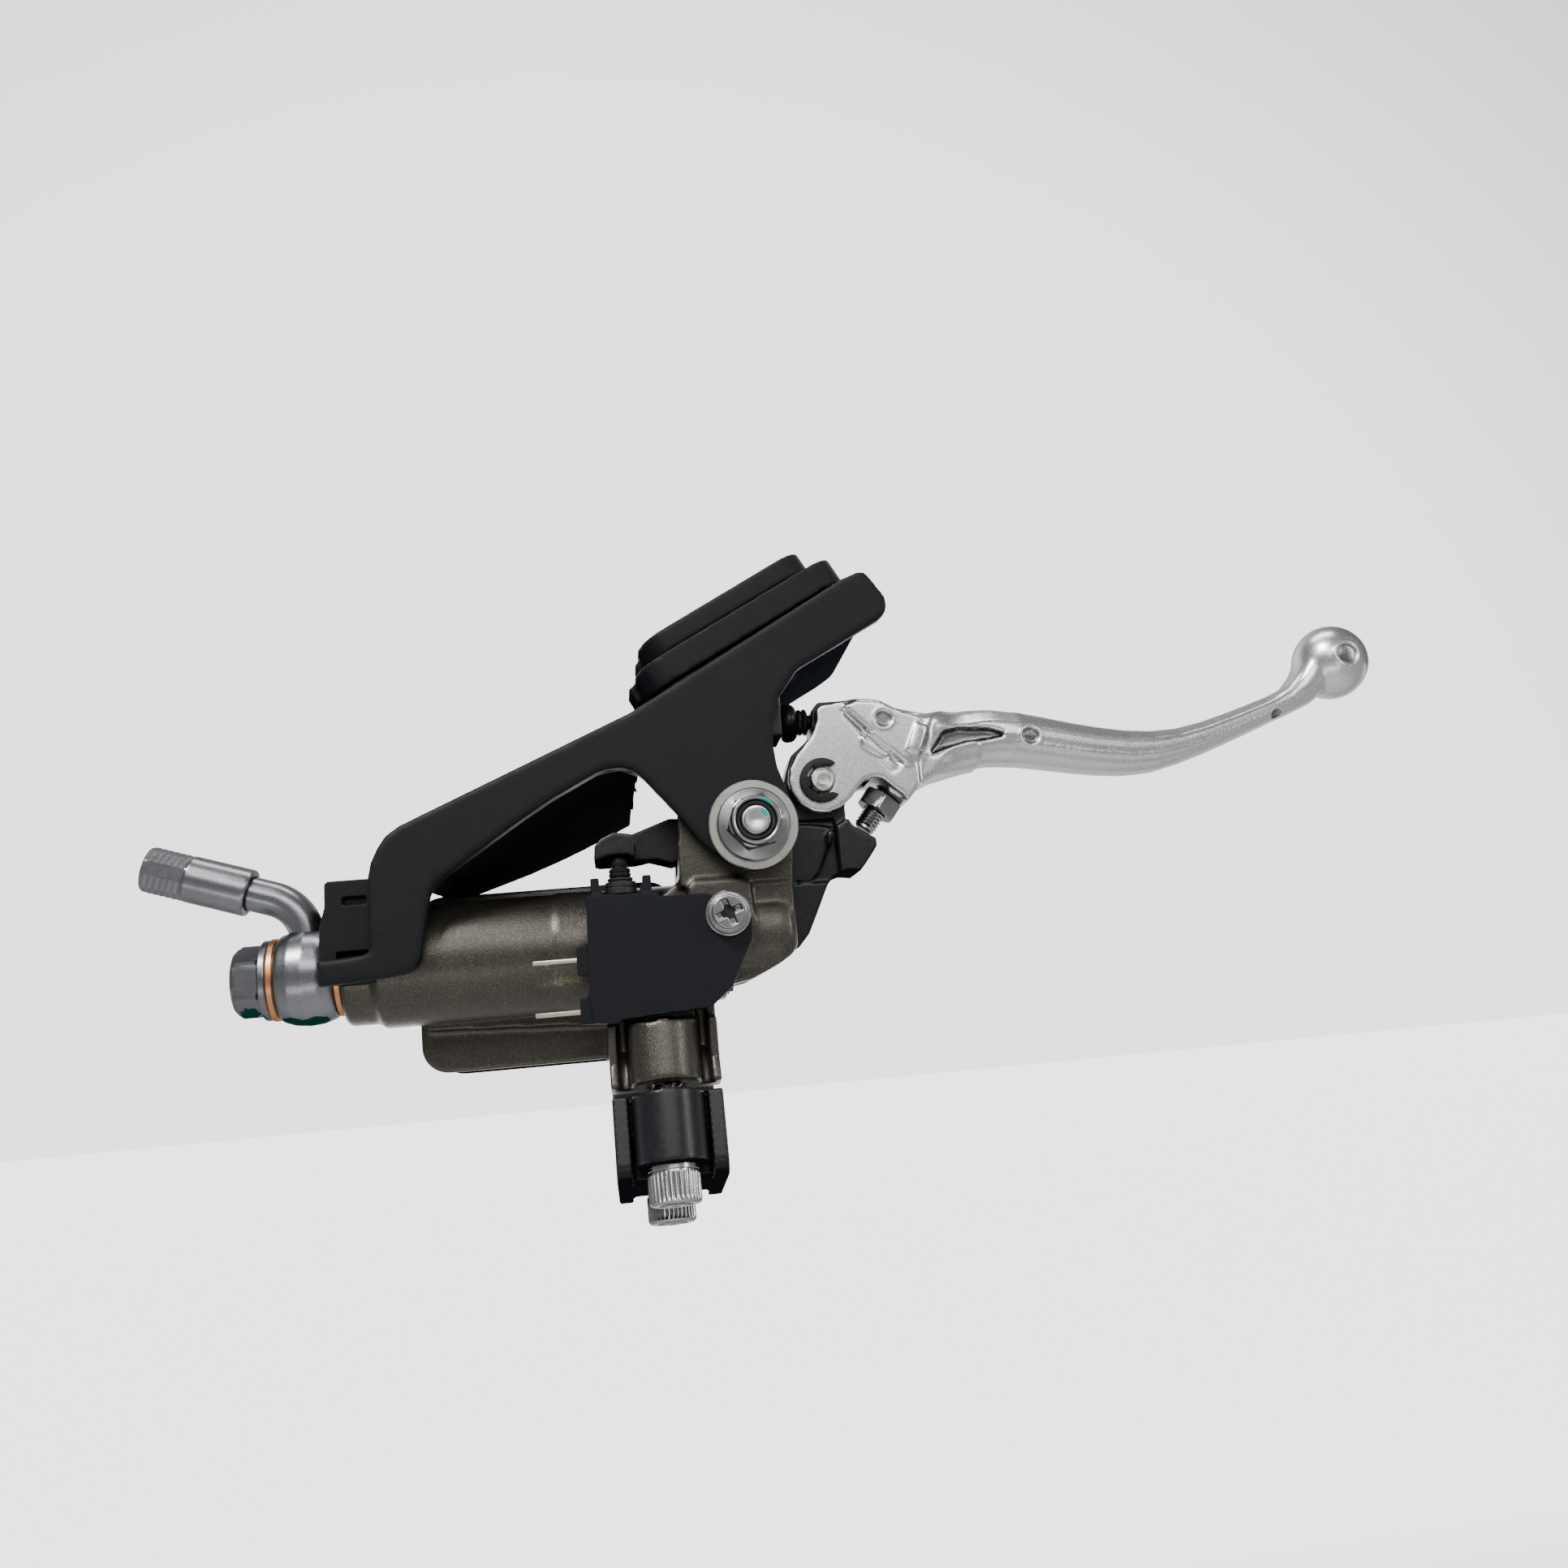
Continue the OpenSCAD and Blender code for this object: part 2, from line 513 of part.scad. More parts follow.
// ---- inside the bore ----
module circlip() {
  color([0.3, 0.3, 0.32]) difference() {
    rod_x(9, 10, barrel_z, 7.1);
    rod_x(8, 11, barrel_z, 5.2);
    block([8, -1.6, barrel_z - 9], [11, 1.6, barrel_z]);
  }
}
module dust_seal() {
  color([0.05, 0.05, 0.06]) difference() {
    union() {
      rod_x(10.2, 13.6, barrel_z, bore_r - 0.03);
      rod_x(13.5, 14.6, barrel_z, 5.9);
    }
    rod_x(9, 16, barrel_z, 4.86);
  }
}
module return_spring() {
  color([0.6, 0.6, 0.62]) translate([-49, 0, barrel_z]) rotate([0, 90, 0])
    linear_extrude(height = 28.4, twist = -360 * 6, slices = 84)
      translate([4.1, 0]) circle(r = 0.8, $fn = 8);
}
module piston() {
  color([0.62, 0.63, 0.65]) spin_x(0, barrel_z) polygon([[0, -17.4], [2.9, -17.4],
    [2.9, -14], [6.3, -14], [6.3, -10.5], [4.6, -10], [4.6, -1], [6.3, -0.6],
    [6.3, 2], [4.4, 2], [4.4, 5.4], [6.3, 5.4], [6.3, 8.2], [4.8, 8.6], [4.8, 22.6],
    [3.6, 24], [0, 24]]);
}
module primary_cup() {
  color([0.05, 0.05, 0.06]) spin_x(0, barrel_z)
    polygon([[2.93, -16.8], [5, -16.4], [5.6, -17.2], [6.32, -17.2], [6.1, -14.02], [2.93, -14.02]]);
}
module secondary_cup() {
  color([0.05, 0.05, 0.06]) spin_x(0, barrel_z)
    polygon([[4.43, 2.1], [5.6, 2.1], [6.32, 2.3], [6.1, 5.3], [4.43, 5.3]]);
}
module spring_seat() {
  color([0.7, 0.7, 0.72]) spin_x(0, barrel_z)
    polygon([[0, -22.6], [3.1, -22.6], [3.1, -20.3], [5.6, -20.3], [5.6, -18.6], [0, -18.6]]);
}

// ---- brake switch ----
module switch_body() {
  color([0.17, 0.18, 0.2]) difference() {
    union() {
      slab(-18, switch_back) polygon(switch_pts);
      slab(-17, -13) polygon([[-12.1, 41], [-12.1, 44.9], [-10.4, 44.9], [-10.4, 43.1],
        [-9.9, 43.1], [-9.9, 41]]);
      slab(-17, -13) polygon([[-2.4, 41], [-2.4, 43.1], [-1.9, 43.1], [-1.9, 44.8],
        [-0.2, 44.8], [-0.2, 41]]);
      slab(-17.6, -13) polygon([[-15.6, 26.3], [-15.6, 31.6], [-13, 32.4], [-13, 25.6]]);
      slab(-17.6, -13) polygon([[-15.5, 16.8], [-15.5, 21.7], [-13, 22.4], [-13, 16.7]]);
    }
    rod_z([plunger_x, plunger_y], 33, 50, 1.65);
    rod_y([14.4, 35.9], -20, -10, 2.1);
    for (z = [29.2, 19.2]) block([-16, -17, z - 0.42], [-11.5, -13, z + 0.42]);
  }
}
module switch_terminals() {
  color([0.78, 0.74, 0.6]) for (z = [29.2, 19.2]) difference() {
    block([-24.1, -16.9, z - 0.4], [-11.6, -13.1, z + 0.4]);
    rod_z([-21.6, plunger_y], z - 2, z + 2, 0.7);
  }
}
module switch_screw_washer() {
  color([0.8, 0.8, 0.82]) difference() {
    rod_y([14.4, 35.9], -18.9, -18, 4.5);
    rod_y([14.4, 35.9], -20, -10, 2.1);
  }
}
module switch_screw() {
  color([0.8, 0.8, 0.82]) difference() {
    union() {
      rod_y([14.4, 35.9], -20.2, -18.9, 4);
      rod_y([14.4, 35.9], -21.2, -20.1, 3.3);
      rod_y([14.4, 35.9], -19, -8, 1.98);
    }
    for (a = [20, 110]) slab(-22, -19.6) translate([14.4, 35.9]) rotate(a)
      square([5.3, 1.35], center = true);
    rod_y([14.4, 35.9], -22, -19.6, 1.15);
  }
}
module switch_boot() {
  color([0.06, 0.06, 0.07]) difference() {
    union() {
      rod_z([plunger_x, plunger_y], 41.55, 43.9, 3.1);
      rod_z([plunger_x, plunger_y], 43.8, 44.7, 2.5);
    }
    rod_z([plunger_x, plunger_y], 40, 46, 1.68);
  }
}
module switch_plunger() {
  color([0.08, 0.08, 0.09]) {
    rod_z([plunger_x, plunger_y], 36.4, 47.6, 1.6);
    rod_z([plunger_x, plunger_y], 44.95, 46.6, 2.15);
    translate([plunger_x, plunger_y, 47.5]) sphere(1.6);
  }
}

// ---- lever carrier ----
module lever_carrier() {
  color([0.1, 0.11, 0.13]) difference() {
    union() {
      slab(-carrier_half, carrier_half) polygon(carrier_pts);
      rod_y(pivot, -slot_half + 0.3, slot_half - 0.3, 8);
      slab(-7, 7) polygon(shoulder_pts);
      slab(-17.2, -carrier_half + e) polygon(tab_pts);
      slab(-carrier_half - e, 0) polygon([[-10.6, 49.3], [-10.6, 51.3], [-7, 53.8], [2, 55], [2, 49.3]]);
    }
    slab(-9, -carrier_half + 0.6) difference() {
      translate([30, 42]) square([9.5, 13.4]);
      polygon(plate_pts);
    }
    slab(-20, -16.8) difference() {
      translate([-6.2, 50.9]) circle(1.6);
      translate([-6.2, 50.9]) circle(1.15);
    }
    rod_y(pivot, -20, 20, bush_r + fit);
    rod_y(pin, -20, 20, 2.55);
    rod_x(33, 45, 77.4, 1.55);
    translate([adj[0], 0, adj[1]]) rotate([0, adj_angle, 0])
      translate([0, 0, -6.9]) cylinder(h = 10, r = 3.4);
  }
}
module stop_screw() {
  color([0.08, 0.08, 0.09]) {
    spin_x(0, 77.4) polygon([[0, 30.4], [3.2, 30.4], [4.1, 31.3], [4.1, 33],
      [3.2, 33.8], [1.5, 33.8], [1.5, 44], [0, 44]]);
  }
}
module stop_sleeve() {
  color([0.09, 0.09, 0.1]) spin_x(0, 77.4) polygon([[1.55, 33.9], [2.4, 33.9],
    [2.9, 34.3], [2.9, 34.7], [2.4, 35.1], [3, 35.5], [3, 35.9], [2.4, 36.3], [1.55, 36.3]]);
}

// ---- lever ----
ring_n = 20;
function ring(s) = [for (k = [0:ring_n - 1]) let (a = 360 * k / ring_n, c = cos(a),
  d = sin(a)) [s[0], s[3] * sign(c) * pow(abs(c), 0.8),
  (s[1] + s[2]) / 2 + (s[1] - s[2]) / 2 * sign(d) * pow(abs(d), 0.8)]];
module blade_solid() {
  n = len(blade);
  m = ring_n;
  pts = [for (s = blade) each ring(s)];
  side = [for (i = [0:n - 2]) for (k = [0:m - 1]) each [
      [i * m + k, (i + 1) * m + (k + 1) % m, i * m + (k + 1) % m],
      [i * m + k, (i + 1) * m + k, (i + 1) * m + (k + 1) % m]]];
  caps = [for (k = [1:m - 2]) each [[0, k, k + 1], [(n - 1) * m, (n - 1) * m + k + 1,
    (n - 1) * m + k]]];
  polyhedron(points = pts, faces = concat(side, caps));
}
module lever() {
  color([0.8, 0.81, 0.82]) difference() {
    union() {
      blade_solid();
      translate([157.5, 0, 83.7]) sphere(ball_r);
      slab(-8, 8) polygon(head_pts);
      slab(-7.1, 7.1) polygon(neck_pts);
      slab(-6.6, 6.6) polygon(root_pts);
    }
    slab(-slot_half + 0.3, slot_half - 0.3) polygon(fork_pts);
    rod_y(pin, -20, 20, 2.52);
    slab(-12, -5.2) polygon(window_pts);
    slab(5.2, 12) polygon(window_pts);
    translate([adj[0], 0, adj[1]]) rotate([0, adj_angle, 0]) cylinder(h = 11.6, r = 2.5);
  }
}
module lever_pin() {
  color([0.7, 0.7, 0.72]) difference() {
    union() {
      rod_y(pin, -10, 9, 2.5);
      rod_y(pin, 8, 9.6, 4);
    }
    difference() {
      rod_y(pin, -9.1, -8.2, 4);
      rod_y(pin, -9.2, -8.1, 2.1);
    }
  }
}
module e_clip() {
  color([0.22, 0.21, 0.2]) difference() {
    rod_y(pin, -9.05, -8.25, 4.65);
    rod_y(pin, -10, -8, 2.12);
    slab(-10, -8) translate(pin) polygon([[0, -1.9], [6, -4.4], [6, 4.6], [0, 2]]);
    slab(-10, -8) difference() {
      translate(pin) circle(3.2);
      translate(pin) rotate(95) translate([-4, -1.1]) square([8, 2.2]);
      translate(pin) rotate(5) translate([-4, -1.1]) square([4, 2.2]);
    }
  }
}
module adjuster_nut() {
  color([0.7, 0.71, 0.73]) translate([adj[0], 0, adj[1]]) rotate([0, adj_angle, 0])
    difference() {
      translate([0, 0, -2]) cylinder(h = 3.9, r = 8 / sqrt(3), $fn = 6);
      translate([0, 0, -5]) cylinder(h = 10, r = 2.5);
    }
}
module adjuster_screw() {
  color([0.7, 0.71, 0.73]) translate([adj[0], 0, adj[1]]) rotate([0, adj_angle, 0])
    translate([0, 0, -6.6]) cylinder(h = 15.6, r = 2.45);
}

cylinder_body();
reservoir();
clamp_cap();
clamp_bolts();
clamp_washers();
guard_bracket();
guard_box();
guard_cover();
guard_cap();
guard_clip();
pivot_bolt();
pivot_nut();
pivot_nut_ring();
pivot_washer();
carrier_bush();
banjo_bolt();
banjo_washers();
banjo_fitting();
hose_pipe();
crimp_sleeve();
reservoir_lid();
reservoir_diaphragm();
diaphragm_plate();
lid_screws();
circlip();
dust_seal();
switch_body();
switch_terminals();
switch_screw();
switch_screw_washer();
switch_boot();
return_spring();
piston();
primary_cup();
secondary_cup();
spring_seat();
switch_plunger();
lever_carrier();
stop_screw();
stop_sleeve();
lever();
lever_pin();
e_clip();
adjuster_nut();
adjuster_screw();
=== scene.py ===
import json
import math

import bmesh
import bpy
import numpy as np
from mathutils import Matrix, Vector


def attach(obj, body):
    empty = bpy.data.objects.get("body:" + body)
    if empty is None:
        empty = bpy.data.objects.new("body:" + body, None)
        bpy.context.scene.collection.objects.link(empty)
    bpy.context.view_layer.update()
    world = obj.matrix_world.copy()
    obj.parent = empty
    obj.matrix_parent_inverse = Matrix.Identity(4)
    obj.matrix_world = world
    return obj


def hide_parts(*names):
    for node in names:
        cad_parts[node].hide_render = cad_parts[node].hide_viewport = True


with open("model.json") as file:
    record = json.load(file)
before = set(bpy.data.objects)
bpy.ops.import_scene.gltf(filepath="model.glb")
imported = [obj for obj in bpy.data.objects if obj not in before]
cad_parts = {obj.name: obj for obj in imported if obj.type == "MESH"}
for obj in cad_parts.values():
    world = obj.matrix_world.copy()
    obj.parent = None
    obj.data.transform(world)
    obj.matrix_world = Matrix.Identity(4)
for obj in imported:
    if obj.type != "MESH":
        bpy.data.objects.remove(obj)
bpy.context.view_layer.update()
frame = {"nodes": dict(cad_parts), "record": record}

NODES = frame["nodes"]
MM = 0.001

# Driving places, in millimetres, [x, z] in the lever plane as in the part's source
PIVOT = (21.0, 53.3)
PIN = (37.0, 63.0)
SWITCH_SCREW = (14.4, 35.9)
ADJUSTER, ADJUSTER_ANGLE = (50.2, 58.3), 37.7
BARREL_Z, PORT_Z = 32.0, 31.3
STOP_Z = 77.4
CLAMP_TILT, BOLT_SPACING = -12.0, 32.5
PIPE_BEND, PIPE_BEND_R, PIPE_TURN = (-79.0, 38.5), 9.7, 71.8  # centre, radius, degrees
PLUNGER = (-6.2, -15)  # the switch plunger's axis, [x, y]

CAMERA_PLACE, CAMERA_LENS = (-8.5, -296.8, 9.8), 32.61
CAMERA_RIGHT, CAMERA_FORWARD = (0.9897, -0.1122, -0.0892), (0.127, 0.976, 0.179)
LOOK_AT = (0.03, 0, 0.05)  # metres, where every lamp points
BACKDROP = 2.4  # brightness of the pale studio behind the object
FLOOR_Z, FLOOR_HALF = -0.9, 30.0  # metres


def set_range(node, low, high, to_low, to_high):
    """Makes a Map Range node run from to_low at low to to_high at high."""
    values = {"From Min": low, "From Max": high, "To Min": to_low, "To Max": to_high}
    for key, value in values.items():
        node.inputs[key].default_value = value


# ---- camera, light and floor -------------------------------------------------
def make_camera():
    """A camera just under the lever plane, turned and tilted a little."""
    right = Vector(CAMERA_RIGHT).normalized()
    forward = Vector(CAMERA_FORWARD).normalized()
    up = right.cross(forward).normalized()
    data = bpy.data.cameras.new("camera")
    data.sensor_width = 36
    data.lens = CAMERA_LENS
    data.clip_start = 0.01
    camera = bpy.data.objects.new("camera", data)
    turn = Matrix((right, up, -forward)).transposed().to_4x4()
    camera.matrix_world = Matrix.Translation(Vector(CAMERA_PLACE) * MM) @ turn
    bpy.context.scene.collection.objects.link(camera)
    bpy.context.scene.camera = camera


def make_light():
    """Five soft lamps, and a world that is pale behind the object."""
    def area(name, place, size, energy):
        data = bpy.data.lights.new(name, "AREA")
        data.shape = "RECTANGLE"
        data.size, data.size_y = size
        data.energy = energy
        lamp = bpy.data.objects.new(name, data)
        lamp.location = place
        aim = Vector(LOOK_AT) - Vector(place)
        lamp.rotation_euler = aim.to_track_quat("-Z", "Y").to_euler()
        bpy.context.scene.collection.objects.link(lamp)

    area("key", (-0.40, -0.50, 0.75), (0.28, 0.28), 12.0)
    area("front", (0.05, -0.90, 0.52), (0.8, 0.30), 4.6)
    area("side", (0.75, -0.45, 0.30), (0.15, 0.5), 3.0)
    area("under", (-0.15, -0.55, -0.28), (0.6, 0.1), 0.7)
    area("top", (0.05, 0.05, 0.9), (0.6, 0.2), 3.5)
    world = bpy.data.worlds.new("studio")
    world.use_nodes = True
    tree = world.node_tree
    back = tree.nodes["Background"]
    back.inputs["Strength"].default_value = 1.0
    where = tree.nodes.new("ShaderNodeTexCoord")
    parts = tree.nodes.new("ShaderNodeSeparateXYZ")
    level = tree.nodes.new("ShaderNodeMapRange")
    set_range(level, 0.45, 0.82, 0.34, BACKDROP)  # darker on the camera's side
    tree.links.new(where.outputs["Generated"], parts.inputs[0])
    tree.links.new(parts.outputs["Y"], level.inputs["Value"])
    tree.links.new(level.outputs[0], back.inputs["Color"])
    bpy.context.scene.world = world


def make_floor():
    """A wide pale floor that glows far behind the object, where it meets the world."""
    mesh = bpy.data.meshes.new("floor")
    s, z = FLOOR_HALF, FLOOR_Z
    mesh.from_pydata([(-s, -s, z), (s, -s, z), (s, s, z), (-s, s, z)], [], [(0, 1, 2, 3)])
    floor = bpy.data.objects.new("floor", mesh)
    bpy.context.scene.collection.objects.link(floor)
    m = Material("floor", (0.88, 0.88, 0.88), 0.9)
    m.roughness(m.ramp(m.noise(0.2, 2), (0.3, 0.85), (0.7, 0.95)))
    parts = m.node("ShaderNodeSeparateXYZ", Vector=m.place)
    far = m.node("ShaderNodeMapRange", Value=parts.outputs["Y"])
    set_range(far, 1.0, 2.2, 0, BACKDROP)
    m.shader.inputs["Emission Color"].default_value = (1, 1, 1, 1)
    m.link(far.outputs[0], m.shader.inputs["Emission Strength"])
    mesh.materials.append(m.done())


# ---- materials -----------------------------------------------------------------
class Material:
    """A Principled material whose colour, roughness and bump can be built up in steps.
    Sizes are in metres, in the object's own space, so a grain keeps its real size."""

    def __init__(self, name, colour, roughness, metallic=0.0, **sockets):
        self.made = bpy.data.materials.new(name)
        self.made.use_nodes = True
        self.tree = self.made.node_tree
        self.shader = self.tree.nodes["Principled BSDF"]
        self.shader.inputs["Base Color"].default_value = (*colour, 1)
        self.shader.inputs["Roughness"].default_value = roughness
        self.shader.inputs["Metallic"].default_value = metallic
        for key, value in sockets.items():
            self.shader.inputs[key.replace("_", " ")].default_value = value
        coordinates = self.node("ShaderNodeTexCoord")
        self.place, self.facing = coordinates.outputs["Object"], coordinates.outputs["Normal"]
        self.normal = None

    def node(self, kind, **inputs):
        made = self.tree.nodes.new(kind)
        for key, value in inputs.items():
            key = key.replace("_", " ")
            if isinstance(value, bpy.types.NodeSocket):
                self.tree.links.new(value, made.inputs[key])
            else:
                made.inputs[key].default_value = value
        return made

    def link(self, a, b):
        self.tree.links.new(a, b)
        return self

    def noise(self, size, detail=3.0, rough=0.6, stretch=(1, 1, 1)):
        """Noise from 0 to 1 whose grains are about size metres."""
        where = self.node("ShaderNodeMapping", Vector=self.place)
        where.inputs["Scale"].default_value = [s / size for s in stretch]
        out = self.node("ShaderNodeTexNoise", Vector=where.outputs[0], Scale=1.0,
                        Detail=detail, Roughness=rough)
        return out.outputs["Fac"]

    def cells(self, size):
        """A grey value of its own for each cell of about size metres."""
        where = self.node("ShaderNodeMapping", Vector=self.place)
        where.inputs["Scale"].default_value = [1 / size] * 3
        out = self.node("ShaderNodeTexVoronoi", Vector=where.outputs[0], Scale=1.0)
        grey = self.node("ShaderNodeSeparateColor", Color=out.outputs["Color"])
        return grey.outputs[0]

    def ramp(self, fac, *stops):
        """Each of stops is (place, grey or colour)."""
        made = self.node("ShaderNodeValToRGB", Fac=fac)
        ramp = made.color_ramp
        while len(ramp.elements) < len(stops):
            ramp.elements.new(0.5)
        for element, (at, value) in zip(ramp.elements, stops):
            element.position = at
            value = (value,) * 3 if isinstance(value, (int, float)) else value
            element.color = (*value, 1)
        return made.outputs["Color"]

    def mix(self, fac, a, b, kind="MIX"):
        made = self.tree.nodes.new("ShaderNodeMix")
        made.data_type = "RGBA"
        made.blend_type = kind
        made.clamp_factor = True
        for index, value in ((0, fac), (6, a), (7, b)):
            if isinstance(value, bpy.types.NodeSocket):
                self.tree.links.new(value, made.inputs[index])
            elif index:
                made.inputs[index].default_value = (*value, 1)
            else:
                made.inputs[index].default_value = value
        return made.outputs[2]

    def colour(self, socket):
        return self.link(socket, self.shader.inputs["Base Color"])

    def roughness(self, socket):
        return self.link(socket, self.shader.inputs["Roughness"])

    def bump(self, height, depth, strength=1.0):
        """Raises the surface by height, a 0 to 1 socket, over depth metres."""
        made = self.node("ShaderNodeBump", Height=height, Strength=strength, Distance=depth)
        if self.normal:
            self.link(self.normal, made.inputs["Normal"])
        self.normal = made.outputs["Normal"]
        return self.link(self.normal, self.shader.inputs["Normal"])

    def near(self, centre, radius, soft):
        """1 inside a ball, with a ragged edge, and 0 outside it."""
        gap = self.node("ShaderNodeVectorMath", Vector=self.place)
        gap.operation = "DISTANCE"
        gap.inputs[1].default_value = [c * MM for c in centre]
        rag = self.node("ShaderNodeMath")
        rag.operation = "MULTIPLY_ADD"
        self.link(self.noise(1.2 * MM, 2), rag.inputs[0])
        rag.inputs[1].default_value = soft * MM
        self.link(gap.outputs["Value"], rag.inputs[2])
        cut = self.node("ShaderNodeMapRange")
        self.link(rag.outputs[0], cut.inputs["Value"])
        set_range(cut, radius * MM, (radius + 0.15) * MM, 1, 0)
        return cut.outputs[0]

    def math(self, kind, a, b):
        made = self.node("ShaderNodeMath")
        made.operation = kind
        self.link(a, made.inputs[0])
        self.link(b, made.inputs[1])
        return made.outputs[0]

    def dull_below(self, y, level):
        """Sheen everywhere but on the downward faces of the deep walls behind y."""
        spots = ((self.place, "Y", y * MM, (y + 0.5) * MM, level, 0),
                 (self.facing, "Z", -0.35, -0.1, 0, level))
        parts = []
        for vector, axis, start, end, before, after in spots:
            axes = self.node("ShaderNodeSeparateXYZ", Vector=vector)
            cut = self.node("ShaderNodeMapRange", Value=axes.outputs[axis])
            set_range(cut, start, end, before, after)
            parts.append(cut.outputs[0])
        return self.link(self.math("MAXIMUM", *parts), self.shader.inputs["Specular IOR Level"])

    def done(self):
        return self.made


WALLS_Y = -12.8  # the guard's deep walls lie behind this
ALL_Y = -40  # every piece lies behind this
EDGE_TINT = (0.3, 0.3, 0.3, 1)  # darkens a metal's reflections at grazing angles
TEAL = (0.035, 0.30, 0.25)
DEEP_TEAL = (0.006, 0.052, 0.045)
# painted shade inside the lever's recesses and window
RECESS_SHADE_GREY = (0.17, 0.17, 0.175)
# painted shade: darkens the middle of the switch screw's cross recess
SCREW_RECESS_SHADE = (0.035, 0.035, 0.035)


def metallic_paint(name):
    """Bronze paint with metal flakes."""
    m = Material(name, (0.060, 0.054, 0.044), 0.36, 0.8)
    flake = m.cells(0.10 * MM)
    base = m.ramp(flake, (0.0, (0.036, 0.0325, 0.027)), (0.6, (0.057, 0.052, 0.043)),
                  (0.93, (0.080, 0.073, 0.061)), (1.0, (0.15, 0.138, 0.116)))
    blotch = m.ramp(m.noise(9 * MM, 2), (0.3, 0.9), (0.75, 1.08))
    m.colour(m.mix(1.0, base, blotch, "MULTIPLY"))
    m.roughness(m.ramp(m.noise(0.8 * MM, 2), (0.3, 0.28), (0.7, 0.42)))
    m.bump(m.noise(0.42 * MM, 3), 0.05 * MM, 0.7)
    m.bump(flake, 0.016 * MM, 0.5)
    return m.done()


def grained_plastic(name, colour, roughness, grain=0.35, depth=0.05, specular=0.25):
    m = Material(name, colour, roughness, Specular_IOR_Level=specular)
    lighter = tuple(min(1.0, c * 1.6 + 0.001) for c in colour)
    m.colour(m.mix(m.ramp(m.noise(0.5 * MM, 3), (0.4, 0.0), (0.75, 0.6)), colour, lighter))
    m.roughness(m.ramp(m.noise(6 * MM, 3), (0.3, roughness - 0.06), (0.7, roughness + 0.07)))
    m.bump(m.noise(grain * MM, 3, 0.65), depth * MM, 0.8)
    m.dull_below(WALLS_Y, specular)
    return m.done()


def gloss_plastic(name, colour):
    m = Material(name, colour, 0.34, Specular_IOR_Level=0.16)
    m.roughness(m.ramp(m.noise(3 * MM, 4), (0.35, 0.28), (0.75, 0.42)))
    m.colour(m.mix(m.noise(5 * MM, 3), colour, tuple(c * 1.8 + 0.001 for c in colour)))
    m.bump(m.noise(1.5 * MM, 2), 0.01 * MM, 0.4)
    m.dull_below(WALLS_Y, 0.3)
    return m.done()


def black_paint(name):
    m = Material(name, (0.005, 0.0058, 0.0072), 0.36, 0.0, Specular_IOR_Level=0.3)
    m.colour(m.mix(m.ramp(m.noise(1.1 * MM, 4), (0.45, 0.0), (0.8, 1.0)),
                   (0.004, 0.0048, 0.006), (0.008, 0.0092, 0.0115)))
    m.roughness(m.ramp(m.noise(1.2 * MM, 4), (0.3, 0.3), (0.75, 0.4)))
    m.bump(m.noise(0.7 * MM, 3), 0.03 * MM, 0.6)
    m.dull_below(ALL_Y, 0.3)
    return m.done()


def metal(name, colour, roughness, brushed=(1, 1, 1), grain=0.5, wear=0.1, tint=None, marks_and_shade=()):
    m = Material(name, colour, roughness, 1.0, Specular_Tint=EDGE_TINT)
    dull = tuple(c * 0.78 for c in colour)
    base = m.mix(m.ramp(m.noise(2.4 * MM, 5), (0.3, 0.0), (0.8, 0.8)), colour, dull)
    if tint:
        film = m.ramp(m.noise(4.5 * MM, 2), (0.3, (0.95, 0.88, 1.0)), (0.45, (1, 1, 1)),
                      (0.58, (1.0, 0.95, 0.78)), (0.7, (0.86, 1.0, 0.95)))
        base = m.mix(tint, base, m.mix(1.0, base, film, "MULTIPLY"))
    level = m.ramp(m.noise(0.6 * MM, 4, 0.7, brushed), (0.25, max(0.05, roughness - wear * 0.6)),
                   (0.8, roughness + wear * 0.6))
    # each dab lays its colour over a ball: the teal ones are paint marks, the black one on the switch screw
    # is painted shade in its recess
    for centre, radius, dab_colour in marks_and_shade:
        mask = m.near(centre, radius, 1.4)
        base = m.mix(mask, base, dab_colour)
        level = m.mix(mask, level, (0.6, 0.6, 0.6))
    m.colour(base)
    m.roughness(level)
    m.bump(m.noise(grain * MM, 3, 0.6, brushed), 0.012 * MM, 0.6)
    return m.done()


def cast_silver(name, shaded_hollows):
    """Silver paint on a casting, with painted shade: a darker grey inside each of the hollows given, (centre,
    radius).
    """
    m = Material(name, (0.5, 0.51, 0.52), 0.3, 1.0, Specular_Tint=EDGE_TINT)
    flake = m.cells(0.14 * MM)
    base = m.ramp(flake, (0.0, (0.45, 0.46, 0.47)), (0.7, (0.52, 0.53, 0.54)),
                  (1.0, (0.68, 0.69, 0.70)))
    for centre, radius in shaded_hollows:
        # painted shade: each hollow's colour turns a darker grey
        base = m.mix(m.near(centre, radius, 0.3), base, RECESS_SHADE_GREY)
    m.colour(base)
    m.roughness(m.ramp(m.noise(0.45 * MM, 3), (0.35, 0.25), (0.7, 0.33)))
    m.bump(m.noise(0.5 * MM, 3), 0.022 * MM, 0.6)
    m.bump(flake, 0.006 * MM, 0.5)
    return m.done()


def soft_rubber(name):
    m = Material(name, (0.006, 0.006, 0.007), 0.5, Specular_IOR_Level=0.3)
    m.colour(m.mix(m.noise(1.0 * MM, 4), (0.004, 0.004, 0.005), (0.012, 0.012, 0.014)))
    m.roughness(m.ramp(m.noise(1.8 * MM, 3), (0.3, 0.38), (0.7, 0.6)))
    m.bump(m.noise(0.4 * MM, 2), 0.02 * MM, 0.5)
    return m.done()


# Round recesses pressed into the lever's front: (x, z), radius, depth, softness, rim
RECESSES = [((51.4, 75.4), 1.9, 0.55, 0.35, 0.12), ((83.6, 70.1), 2.0, 0.6, 0.35, 0.12),
            ((141, 71.6), 1.5, 0.8, 0.8, 0.0), ((157.6, 83.7), 2.6, 0.45, 0.35, 0.15)]
